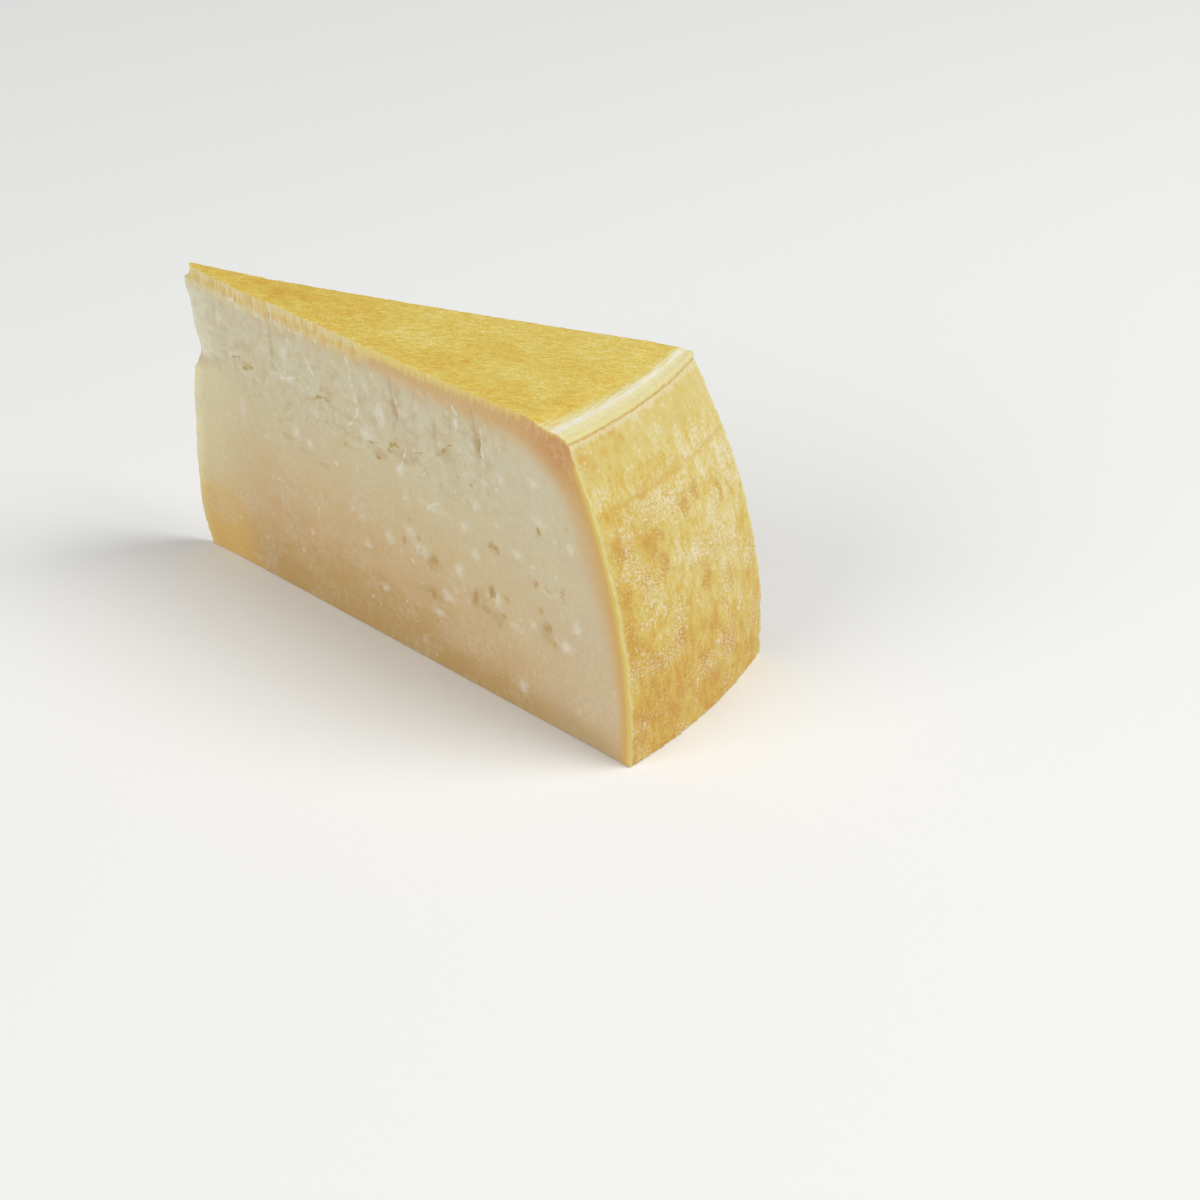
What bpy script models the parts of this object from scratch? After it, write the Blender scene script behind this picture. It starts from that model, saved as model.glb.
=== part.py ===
# A wedge of parmesan: one sector cut from the upper half of a round wheel.
# Units are metres and +Z is up. The thin end points along -X and the rind along +X.
# The origin is under the middle of the wedge's box, on the flat face it stands on.

import math

import bmesh
import bpy
from mathutils import Vector, noise

MM = 0.001

# The wheel that the wedge was cut from
BELLY_RADIUS = 210.0 * MM       # at mid height of the wheel, which is the wedge's foot
SIDE_LEAN = 5.1 * MM            # how far the side would flare over the height without its bulge
SIDE_BULGE = 33.7 * MM          # how far the bulge pulls the side in again at the top
HEIGHT = 114.4 * MM             # from the halving cut up to the flat rind
DISH_DEPTH = 0.7 * MM           # the flat rind sags a little between the thin end and the rim
END_RISE = 0.7 * MM             # it curls up again over the last stretch to the thin end
END_RISE_RUN = 35.0 * MM

# The two cuts down through the wheel
CUT_ANGLE = math.radians(22.26)
WHEEL_CENTRE = (1.8 * MM, 11.1 * MM)    # the cuts meet beside the wheel's own centre
EDGE_HALF_WIDTH = 1.2 * MM      # the thin end is a blunt edge, not a blade
EDGE_ROUNDING = 1.5 * MM        # distance over which that edge reaches its width

# The moulded rim between the flat rind and the side
RIM_INNER = 16.0 * MM           # where the flat rind begins to fall, inside the rim's outer edge
RIM_CREASE = 7.5 * MM           # where the fall meets the level lip
RIM_FALL_NEAR = 1.5 * MM        # height lost down to the lip, at the near cut
RIM_FALL_FAR = 0.3 * MM         # and at the far cut, where the rim is less worn
LIP_EDGE_DROP = 0.7 * MM        # height lost at the lip's rounded outer edge
LIP_EDGE_WIDTH = 3.0 * MM
LIP_INSET_NEAR = 0.8 * MM       # how far that edge leans in above the groove, at the near cut
LIP_INSET_FAR = -0.8 * MM       # and at the far cut, where it juts out instead
GROOVE_HEIGHT = 110.7 * MM      # the line left by the mould, just under the lip
GROOVE_DEPTH = 0.9 * MM
GROOVE_WIDTH = 0.9 * MM

# The broken thin end, from the foot up: height, and how far it stands back from the cuts' meeting line
EDGE_OUTLINE = (
    (0.0, -1.0), (8.7, -3.7), (20.0, -4.8), (33.0, -4.8), (50.0, -3.8), (63.5, -2.6),
    (73.5, -1.6), (79.0, 1.4), (83.8, 2.6), (90.9, 0.5), (101.0, -0.2), (106.0, -1.9),
    (109.6, -2.0), (111.6, 0.9), (114.5, -0.4),
)

# Waves of the cuts' relief, in mm: how far they stand out, their length along the wedge and up it
SWELL = (0.35, 34.0, 26.0)      # all over
CRAG = (0.75, 9.0, 24.0)        # upright crags of the crumbled part
CRUMB = (0.45, 6.0, 6.0)        # and its crumbs
BROKEN_FOOT = 66.0              # mm above the foot, where the crumbled part begins
BROKEN_WANDER = (9.0, 30.0)     # mm that its lower border wanders up and down, and over what length
BROKEN_END = (146.0, 170.0)     # mm along, where it dies out towards the rind
FOOT_CALM = 10.0                # mm above the foot, over which the relief comes in

# Uneven waves of the thin end and of the rind's side: how far they reach, and their size
EDGE_WANDER = (0.8 * MM, 14.0 * MM)
EDGE_WANDER_RUN = 10.0 * MM     # the thin end's waves die out over this length
RIND_LUMP = (0.35 * MM, 11.0 * MM)
RIND_LUMP_FADE = 6.0 * MM       # no lumps on the lip, over this height under the flat rind

# The slab left standing at the top of the near cut, beside the thin end
SLAB_END = 44.0                 # mm from the cuts' meeting line
SLAB_FOOT = 88.0                # mm above the foot
SLAB_PROUD = 0.9                # mm

# Drag marks of the knife on the near cut: start and end (mm along, mm up), depth and half width in mm
NEAR_FURROWS = (
    ((103.0, 104.0), (105.5, 86.0), 0.9, 2.2),
    ((130.0, 107.0), (129.0, 81.0), 0.8, 2.2),
    ((140.0, 107.0), (143.0, 88.0), 1.0, 2.2),
    ((121.0, 97.0), (122.0, 87.0), 0.5, 2.2),
    ((61.0, 81.5), (74.0, 85.5), 1.0, 2.2),
    ((122.0, 83.5), (131.0, 91.0), 0.7, 2.2),
    ((92.0, 71.5), (104.0, 83.0), 0.9, 2.2),
    ((82.0, 108.0), (85.0, 87.0), -0.5, 2.2),
)

# Small cavities of the near cut: mm along, mm up, half length, half height, depth
NEAR_PITS = (
    (149.0, 59.0, 2.2, 2.6, 1.6), (112.0, 48.0, 2.6, 2.0, 1.1), (107.0, 53.5, 2.0, 1.8, 0.9),
    (119.0, 41.0, 2.4, 1.8, 1.0), (121.0, 28.5, 2.2, 2.2, 1.0), (146.0, 41.0, 2.4, 2.2, 1.6),
    (138.0, 35.0, 2.6, 2.0, 1.3), (150.0, 30.0, 2.6, 2.0, 1.3), (157.0, 43.0, 3.2, 2.4, 1.6),
    (168.0, 53.0, 2.4, 1.8, 1.2), (179.0, 54.0, 2.0, 1.8, 1.0), (172.0, 39.0, 3.0, 2.6, 1.5),
    (164.0, 35.0, 2.4, 2.2, 1.3), (150.0, 82.0, 2.2, 1.8, 0.9),
)

# The far cut is broken in the same way, with its own marks
FAR_FURROWS = (
    ((58.0, 105.0), (61.0, 84.0), 0.9, 2.2),
    ((92.0, 102.0), (90.0, 80.0), 0.9, 2.2),
    ((117.0, 106.0), (119.5, 90.0), 1.0, 2.2),
    ((76.0, 74.0), (88.0, 79.0), 1.0, 2.2),
    ((134.0, 84.0), (142.0, 78.0), 0.9, 2.2),
)
FAR_PITS = (
    (66.0, 52.0, 2.6, 2.2, 1.3), (84.0, 44.0, 2.2, 2.4, 1.2), (97.0, 57.0, 2.6, 2.0, 1.1),
    (128.0, 49.0, 3.0, 2.2, 1.5), (137.0, 38.0, 2.4, 2.2, 1.2), (152.0, 61.0, 2.2, 2.4, 1.3),
    (160.0, 33.0, 2.6, 2.0, 1.1), (176.0, 47.0, 2.4, 2.0, 1.2), (112.0, 71.0, 2.2, 2.0, 1.0),
)

# Grid of the solid: cells along the wedge, across it and up it
CELLS_ALONG = 54
CELLS_ACROSS = 14
CELLS_UP = 28
ALONG_CROWDING = 1.25           # above 1 the cells crowd towards the thin end
LAST_EVEN_LEVEL = 0.94          # share of the height up to which the levels are evenly spaced
UPPER_LEVELS = (0.9535, 0.9615, 0.9677, 0.9745, 0.986)    # the levels at the groove and the lip


def smooth_step(low, high, value):
    """Return 0 below low and 1 above high, with a smooth change between."""
    share = min(1.0, max(0.0, (value - low) / (high - low)))
    return share * share * (3.0 - 2.0 * share)


def edge_setback(height):
    """Return where the broken thin end lies at a height above the foot."""
    level = height / MM
    for (low, start), (high, end) in zip(EDGE_OUTLINE, EDGE_OUTLINE[1:]):
        if level <= high:
            share = max(0.0, (level - low) / (high - low))
            return (start + (end - start) * share) * MM
    return EDGE_OUTLINE[-1][1] * MM


def side_radius(height, far_share=0.5):
    """Return the wheel's radius at a height, with the groove and the lip above it.

    The share runs from 0 at the near cut to 1 at the far cut.
    """
    share = height / HEIGHT
    radius = BELLY_RADIUS + SIDE_LEAN * share - SIDE_BULGE * share ** 2
    groove = math.exp(-((height - GROOVE_HEIGHT) / GROOVE_WIDTH) ** 2)
    inset = LIP_INSET_NEAR + (LIP_INSET_FAR - LIP_INSET_NEAR) * far_share
    inset *= smooth_step(GROOVE_HEIGHT, HEIGHT - RIM_FALL_NEAR, height)
    return radius - GROOVE_DEPTH * groove - inset


def along_to_side(slope, radius):
    """Return X where a line from the cuts' meeting line, Y = slope * X, meets the wheel's side."""
    centre_x, centre_y = WHEEL_CENTRE
    middle = centre_x + slope * centre_y
    rest = centre_x ** 2 + centre_y ** 2 - radius ** 2
    return (middle + math.sqrt(middle ** 2 - (1.0 + slope ** 2) * rest)) / (1.0 + slope ** 2)


def top_height(x, y):
    """Return the height of the rind on top: a shallow dish, then the rim's fall and its lip."""
    reach = math.hypot(x - WHEEL_CENTRE[0], y - WHEEL_CENTRE[1])
    inside = side_radius(HEIGHT) - reach
    flat_share = min(1.0, reach / (side_radius(HEIGHT) - RIM_INNER))
    dish = DISH_DEPTH * math.sin(math.pi * flat_share)
    rise = END_RISE * (1.0 - smooth_step(0.0, END_RISE_RUN, x))
    far_share = 0.5 + 0.5 * y / (side_radius(HEIGHT) * math.tan(CUT_ANGLE / 2.0))
    rim_fall = RIM_FALL_NEAR + (RIM_FALL_FAR - RIM_FALL_NEAR) * far_share
    fall = rim_fall * (1.0 - smooth_step(RIM_CREASE, RIM_INNER, inside))
    edge = LIP_EDGE_DROP * (1.0 - smooth_step(0.0, LIP_EDGE_WIDTH, inside))
    return HEIGHT + rise - dish - fall - edge


def height_at(up_share, x, y):
    """Return the height of a grid level: level up to the groove, then spread up to the rind."""
    groove_share = GROOVE_HEIGHT / HEIGHT
    if up_share <= groove_share:
        return up_share * HEIGHT
    share = (up_share - groove_share) / (1.0 - groove_share)
    return GROOVE_HEIGHT + share * (top_height(x, y) - GROOVE_HEIGHT)


def furrow_depth(furrows, along, up):
    """Return the depth, in mm, that the knife's drag marks have at a point of a cut face."""
    depth = 0.0
    for start, end, deepest, half_width in furrows:
        run = Vector(end) - Vector(start)
        offset = Vector((along, up)) - Vector(start)
        share = min(1.0, max(0.0, offset.dot(run) / run.length_squared))
        away = (offset - run * share).length
        depth += deepest * math.exp(-(away / half_width) ** 2)
    return depth


def pit_depth(pits, along, up):
    """Return the depth, in mm, that the small cavities have at a point of a cut face."""
    depth = 0.0
    for centre_along, centre_up, half_length, half_height, deepest in pits:
        away = ((along - centre_along) / half_length) ** 2 + ((up - centre_up) / half_height) ** 2
        depth += deepest * math.exp(-away)
    return depth


def broken_share(along, up):
    """Return 1 in the crumbled upper part of a cut, and 0 in the smooth part below it."""
    wander, wander_length = BROKEN_WANDER
    border = BROKEN_FOOT + wander * noise.noise(Vector((along / wander_length, 4.0, 0.0)))
    right_end = 1.0 - smooth_step(*BROKEN_END, along)
    return smooth_step(border - 5.0, border + 9.0, up) * right_end


def wave(kind, along, up, seed):
    """Return one kind of the relief's waves, in mm, at a point of a cut face."""
    reach, length, height = kind
    return reach * noise.noise(Vector((along / length, up / height, seed)))


def cut_relief(along, up, furrows, pits, side):
    """Return how far a cut face stands out, in mm: swells, crags, drag marks and cavities."""
    crags = wave(CRAG, along, up, 7.0 + side) + wave(CRUMB, along, up, 13.0 + side)
    relief = wave(SWELL, along, up, side) + crags * broken_share(along, up)
    relief -= furrow_depth(furrows, along, up) + pit_depth(pits, along, up)
    return relief * smooth_step(0.0, FOOT_CALM, up)


def near_relief(along, up):
    """Return the near cut's relief in mm, with the slab left standing by the thin end."""
    slab = SLAB_PROUD * (1.0 - smooth_step(SLAB_END - 1.5, SLAB_END + 1.5, along))
    slab *= smooth_step(SLAB_FOOT - 8.0, SLAB_FOOT, up)
    return slab + cut_relief(along, up, NEAR_FURROWS, NEAR_PITS, 0.0)


def far_relief(along, up):
    """Return the far cut's relief in mm."""
    return cut_relief(along, up, FAR_FURROWS, FAR_PITS, 31.0)


def wedge_point(along_share, across_share, up_share):
    """Map a point of the unit block, each share from 0 to 1, to its place in the wedge."""
    slope = (2.0 * across_share - 1.0) * math.tan(CUT_ANGLE / 2.0)
    rim_x = along_to_side(slope, side_radius(HEIGHT))
    level = height_at(up_share, rim_x, rim_x * slope)
    rim_x = along_to_side(slope, side_radius(level, across_share))
    tip_x = edge_setback(level)
    run = along_share * (rim_x - tip_x)
    x = tip_x + run

    # The thin end is a blunt edge, and the cuts spread from there
    opening = math.hypot(max(x, 0.0) * math.tan(CUT_ANGLE / 2.0), EDGE_HALF_WIDTH)
    nose = math.sqrt(1.0 - math.exp(-run / EDGE_ROUNDING))
    side = 2.0 * across_share - 1.0
    y = side * opening * nose

    # Relief of both cuts, shared out over the thickness between them
    along = x / math.cos(CUT_ANGLE / 2.0) / MM
    near = near_relief(along, level / MM) * (1.0 - across_share)
    far = far_relief(along, level / MM) * across_share
    y += (far - near) * MM * (1.0 - math.exp(-run / (2.0 * EDGE_ROUNDING)))

    # The thin end wanders sideways a little where it broke
    wander_reach, wander_size = EDGE_WANDER
    wander = wander_reach * noise.noise(Vector((0.0, level / wander_size, 3.0)))
    y += wander * math.exp(-run / EDGE_WANDER_RUN)

    # The rind's side is slightly lumpy
    lump_reach, lump_size = RIND_LUMP
    lump = lump_reach * noise.noise(Vector((y / lump_size, level / lump_size, 19.0)))
    x += lump * along_share ** 12 * smooth_step(0.0, RIND_LUMP_FADE, HEIGHT - level)
    return Vector((x, y, height_at(up_share, x, y)))


def grid_levels():
    """Return the shares of the block's length, width and height where its grid is cut."""
    along = [(i / CELLS_ALONG) ** ALONG_CROWDING for i in range(1, CELLS_ALONG)]
    across = [i / CELLS_ACROSS for i in range(1, CELLS_ACROSS)]
    up = [LAST_EVEN_LEVEL * i / CELLS_UP for i in range(1, CELLS_UP + 1)]
    return along, across, up + list(UPPER_LEVELS)


def slice_block(bm, axis, levels):
    """Cut the block across one axis at each level."""
    normal = Vector((0.0, 0.0, 0.0))
    normal[axis] = 1.0
    for level in levels:
        everything = bm.verts[:] + bm.edges[:] + bm.faces[:]
        bmesh.ops.bisect_plane(bm, geom=everything, plane_co=normal * level, plane_no=normal)


def principled(name, colour, roughness):
    """Return a material with one Principled shader."""
    material = bpy.data.materials.new(name)
    material.use_nodes = True
    shader = material.node_tree.nodes["Principled BSDF"]
    shader.inputs["Base Color"].default_value = (*colour, 1.0)
    shader.inputs["Roughness"].default_value = roughness
    shader.inputs["Metallic"].default_value = 0.0
    return material


def build_wedge(collection):
    """Build the wedge from a sliced block whose points are moved into place."""
    bm = bmesh.new()
    bmesh.ops.create_cube(bm, size=1.0)
    bmesh.ops.translate(bm, verts=bm.verts, vec=(0.5, 0.5, 0.5))
    for axis, levels in enumerate(grid_levels()):
        slice_block(bm, axis, levels)

    # Faces of the side and the top are rind, and the foot becomes one flat face
    bm.normal_update()
    for face in bm.faces:
        face.material_index = int(face.normal.x > 0.5 or face.normal.z > 0.5)
    foot = [face for face in bm.faces if face.normal.z < -0.5]
    bmesh.ops.dissolve_faces(bm, faces=foot, use_verts=False)

    tip_verts = [vert for vert in bm.verts if vert.co.x < 1e-6]
    for vert in bm.verts:
        vert.co = wedge_point(*vert.co)
    bmesh.ops.remove_doubles(bm, verts=tip_verts, dist=1e-6)

    # The origin goes under the middle of the box
    low = [min(vert.co[axis] for vert in bm.verts) for axis in range(3)]
    high = [max(vert.co[axis] for vert in bm.verts) for axis in range(3)]
    middle = Vector((-(low[0] + high[0]) / 2.0, -(low[1] + high[1]) / 2.0, 0.0))
    bmesh.ops.translate(bm, verts=bm.verts, vec=middle)
    bmesh.ops.recalc_face_normals(bm, faces=bm.faces)

    mesh = bpy.data.meshes.new("cheese_wedge")
    bm.to_mesh(mesh)
    bm.free()
    mesh.materials.append(principled("cheese_paste", (0.55, 0.46, 0.26), 0.45))
    mesh.materials.append(principled("cheese_rind", (0.68, 0.46, 0.12), 0.5))
    mesh.shade_smooth()
    mesh.set_sharp_from_angle(angle=math.radians(35.0))
    wedge = bpy.data.objects.new("cheese_wedge", mesh)
    collection.objects.link(wedge)
    return wedge


def main():
    """Clear the scene and build the wedge in its own collection."""
    for existing in list(bpy.data.objects):
        bpy.data.objects.remove(existing, do_unlink=True)
    collection = bpy.data.collections.new("parmesan_wedge")
    bpy.context.scene.collection.children.link(collection)
    build_wedge(collection)


main()
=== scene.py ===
import math

import bmesh
import bpy
import numpy as np
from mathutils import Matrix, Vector, noise


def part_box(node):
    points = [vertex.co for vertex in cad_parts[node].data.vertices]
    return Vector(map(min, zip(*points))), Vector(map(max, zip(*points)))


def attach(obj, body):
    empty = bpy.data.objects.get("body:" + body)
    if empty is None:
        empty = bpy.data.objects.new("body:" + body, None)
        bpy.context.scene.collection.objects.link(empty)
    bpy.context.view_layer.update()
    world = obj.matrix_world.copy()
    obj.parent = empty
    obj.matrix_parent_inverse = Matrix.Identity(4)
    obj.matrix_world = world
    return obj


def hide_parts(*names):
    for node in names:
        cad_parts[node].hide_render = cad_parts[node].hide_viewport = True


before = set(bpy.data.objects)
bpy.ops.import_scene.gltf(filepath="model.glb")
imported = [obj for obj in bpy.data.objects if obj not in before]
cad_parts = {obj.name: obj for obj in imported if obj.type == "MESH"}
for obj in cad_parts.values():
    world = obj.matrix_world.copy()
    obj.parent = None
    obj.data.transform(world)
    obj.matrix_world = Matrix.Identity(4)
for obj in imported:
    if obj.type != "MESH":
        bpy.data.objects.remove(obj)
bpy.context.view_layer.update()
mm = 0.001               # shapes below are worked out in millimetres and made in metres
wedgeLow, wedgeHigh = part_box("cheese_wedge")


# Colours are picked as sRGB hex values, and the shaders want them linear
def hexToLinear(hexCode):
    channels = [int(hexCode[i:i + 2], 16) / 255 for i in (1, 3, 5)]
    return tuple(c / 12.92 if c <= 0.04045 else ((c + 0.055) / 1.055) ** 2.4 for c in channels) + (1.0,)


# Adds one node. A setting is a property, an input or "ramp". A link feeds an input from a node or a socket
def addNode(tree, kind, settings=None, links=None):
    node = tree.nodes.new(kind)
    for name, value in (settings or {}).items():
        if name == "ramp":
            elements = node.color_ramp.elements
            while len(elements) < len(value):
                elements.new(0.5)
            for element, (position, hexCode) in zip(elements, value):
                element.position = position
                element.color = hexToLinear(hexCode)
        elif isinstance(name, str) and hasattr(node, name):
            setattr(node, name, value)
        else:
            node.inputs[name].default_value = value
    for name, source in (links or {}).items():
        tree.links.new(source.outputs[0] if isinstance(source, bpy.types.Node) else source, node.inputs[name])
    return node


# Starts a material, with the plain settings of its surface on the shader's own sockets
def startMaterial(name, surface):
    material = bpy.data.materials.new(name)
    material.use_nodes = True
    tree = material.node_tree
    shader = tree.nodes["Principled BSDF"]
    for socket, value in surface.items():
        shader.inputs[socket].default_value = value
    return material, tree, shader


# Gives the shader its colour and its bumps, the coarsest first: a pattern, a strength and a height in mm
def finishMaterial(tree, shader, colour, patterns, bumps):
    tree.links.new(colour, shader.inputs["Base Color"])
    links = {}
    for pattern, strength, height in bumps:
        links["Height"] = patterns[pattern]
        settings = {"Strength": strength, "Distance": height * mm}
        links["Normal"] = addNode(tree, "ShaderNodeBump", settings, links)
    tree.links.new(links["Normal"].outputs[0], shader.inputs["Normal"])


# The piece's own coordinates in mm, for patterns that run on over the whole of it
def placeInMillimetres(tree):
    coordinates = addNode(tree, "ShaderNodeTexCoord").outputs["Object"]
    return addNode(tree, "ShaderNodeVectorMath", {"operation": "SCALE", "Scale": 1 / mm}, {0: coordinates})


# Puts a new object into the scene
def addObject(name, data):
    added = bpy.data.objects.new(name, data)
    bpy.context.scene.collection.objects.link(added)
    return added


# Paints masks of the mesh over a colour. Each layer adds a pattern, times its reach, to a mask, and goes from
# nothing where the sum is low to its full strength where it is high
def paintLayers(tree, colour, patterns, layers):
    for mask, pattern, reach, low, high, hexCode, strength in layers:
        stored = addNode(tree, "ShaderNodeAttribute", {"attribute_name": mask})
        uneven = addNode(tree, "ShaderNodeMath", {"operation": "MULTIPLY_ADD", 1: reach},
                         {0: patterns[pattern], 2: stored.outputs["Fac"]})
        share = addNode(tree, "ShaderNodeMapRange",
                        {"interpolation_type": "SMOOTHSTEP", "From Min": low + reach / 2,
                         "From Max": high + reach / 2, "To Max": strength}, {"Value": uneven})
        colour = addNode(tree, "ShaderNodeMix", {"data_type": "RGBA", 7: hexToLinear(hexCode)},
                         {0: share, 6: colour}).outputs[2]
    return colour


lineSoftness = 0.5       # mm over which the edge of a painted line fades


# Paints thin lines, kept on the mesh as the distance across them and how near they are
def paintLines(tree, colour, pattern, lines):
    for across, near, halfWidth, reach, hexCode, strength in lines:
        storedAcross = addNode(tree, "ShaderNodeAttribute", {"attribute_name": across})
        storedNear = addNode(tree, "ShaderNodeAttribute", {"attribute_name": near})
        centred = addNode(tree, "ShaderNodeMath", {"operation": "MULTIPLY_ADD", 1: reach, 2: -reach / 2},
                          {0: pattern})
        moved = addNode(tree, "ShaderNodeMath", {"operation": "ADD"},
                        {0: centred, 1: storedAcross.outputs["Fac"]})
        gap = addNode(tree, "ShaderNodeMath", {"operation": "ABSOLUTE"}, {0: moved})
        width = addNode(tree, "ShaderNodeMath", {"operation": "MULTIPLY", 1: halfWidth},
                        {0: storedNear.outputs["Fac"]})
        inside = addNode(tree, "ShaderNodeMath", {"operation": "SUBTRACT"}, {0: width, 1: gap})
        share = addNode(tree, "ShaderNodeMapRange",
                        {"interpolation_type": "SMOOTHSTEP", "From Max": lineSoftness, "To Max": strength},
                        {"Value": inside})
        colour = addNode(tree, "ShaderNodeMix", {"data_type": "RGBA", 7: hexToLinear(hexCode)},
                         {0: share, 6: colour}).outputs[2]
    return colour


# Scatters soft grains over a colour, one to a cell. A cell draws a number from 0 to 1 and keeps its grain
# where that is high. A pattern, times its reach, can move the number, so that grains cluster, or their outlines
def scatterGrains(tree, colour, place, patterns, grains):
    cells = addNode(tree, "ShaderNodeTexVoronoi", {"Scale": 1 / grains["spacing"]}, {"Vector": place})
    drawn = addNode(tree, "ShaderNodeSeparateColor", {}, {"Color": cells.outputs["Color"]})
    values = {"drawn": drawn.outputs[0], "outline": cells.outputs["Distance"]}
    for name, (pattern, reach) in grains["moved"].items():
        values[name] = addNode(tree, "ShaderNodeMath", {"operation": "MULTIPLY_ADD", 1: reach},
                               {0: patterns[pattern], 2: values[name]})
    low, high = grains["kept"]
    kept = addNode(tree, "ShaderNodeMapRange",
                   {"From Min": low, "From Max": high, "To Max": grains["strength"]},
                   {"Value": values["drawn"]})
    outer, inner = grains["outline"]
    inside = addNode(tree, "ShaderNodeMapRange", {"From Min": outer, "From Max": inner},
                     {"Value": values["outline"]})
    share = addNode(tree, "ShaderNodeMath", {"operation": "MULTIPLY"}, {0: inside, 1: kept})
    return addNode(tree, "ShaderNodeMix", {"data_type": "RGBA", 7: hexToLinear(grains["colour"])},
                   {0: share, 6: colour}).outputs[2]


# Makes the noise patterns of a look and adds them to a mask of the mesh, for the place on the colour ramp. A
# pattern is its size in mm, its detail, its roughness and how far it moves the colour
def layPatterns(tree, place, mask, patterns, turn=0.0):
    made = {}
    total = addNode(tree, "ShaderNodeAttribute", {"attribute_name": mask}).outputs["Fac"]
    for name, (size, detail, roughness, strength) in patterns.items():
        sized = addNode(tree, "ShaderNodeMapping",
                        {"vector_type": "TEXTURE", "Rotation": (0.0, 0.0, turn), "Scale": size},
                        {"Vector": place})
        made[name] = addNode(tree, "ShaderNodeTexNoise",
                             {"Scale": 1.0, "Detail": detail, "Roughness": roughness}, {"Vector": sized})
        if strength:
            total = addNode(tree, "ShaderNodeMath", {"operation": "MULTIPLY_ADD", 1: strength},
                            {0: made[name], 2: total})
    centre = sum(pattern[3] for pattern in patterns.values()) / 2
    return made, addNode(tree, "ShaderNodeMath", {"operation": "SUBTRACT", 1: centre}, {0: total})


# The wedge's form in mm, measured from the upright line where the two cuts meet
wedgeForm = {
    "edgeReach": 4.83,             # the thin end reaches this far past the line
    "edgeInset": 0.3,              # and its roughness stays this far inside that
    "farExcess": 0.3,              # the far cut reaches this much further sideways than the near one
    "bellyRadius": 210.0,
    "sideLean": 5.1,
    "sideBulge": 33.7,
    "height": 114.4,
    "dishDepth": 0.7,
    "endRise": 0.7,
    "endRiseRun": 35.0,
    "cutAngle": 22.26,             # degrees
    "wheelCentre": (1.8, 11.1),
    "edgeHalfWidth": 1.2,
    "edgeRounding": 1.5,
    "rimInner": 16.0,
    "rimCrease": 7.5,
    "rimFall": (1.5, 0.3),         # near cut, far cut
    "lipDrop": 0.7,
    "lipWidth": 3.0,
    "lipInset": (0.8, -0.8),       # near cut, far cut
    # the rim's pale band is partly paler rind and partly a painted highlight on the rim's rounding
    "paleRimAndHighlight": (8.5, 3.0),         # width of the rim's pale band at the near cut and the far cut
    "grooveHeight": 110.7,
    "grooveDepth": 0.3,
    "grooveWidth": 0.55,
    "secondLine": 88.0,            # a faint line that the mould left lower down
    "edgeOutline": (               # height and place of the broken thin end
        (0, -1), (8.7, -3.7), (20, -4.8), (33, -4.8), (50, -3.8), (63.5, -2.6),
        (73.5, -1.6), (79, 1.4), (83.8, 2.6), (90.9, 0.5), (101, -0.2), (106, -1.9),
        (109.6, -2), (111.6, 0.9), (114.5, -0.4)),
    "cells": (238, 80, 122),       # along, across, and up to the end of the even levels
    "crowding": 1.12,              # cells crowd a little towards the thin end
    "evenShare": 0.945,            # above this share of the height the levels are finer
    "fineLevels": 17,
}
halfSlope = math.tan(math.radians(wedgeForm["cutAngle"] / 2))
cutCosine = math.cos(math.radians(wedgeForm["cutAngle"] / 2))

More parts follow.
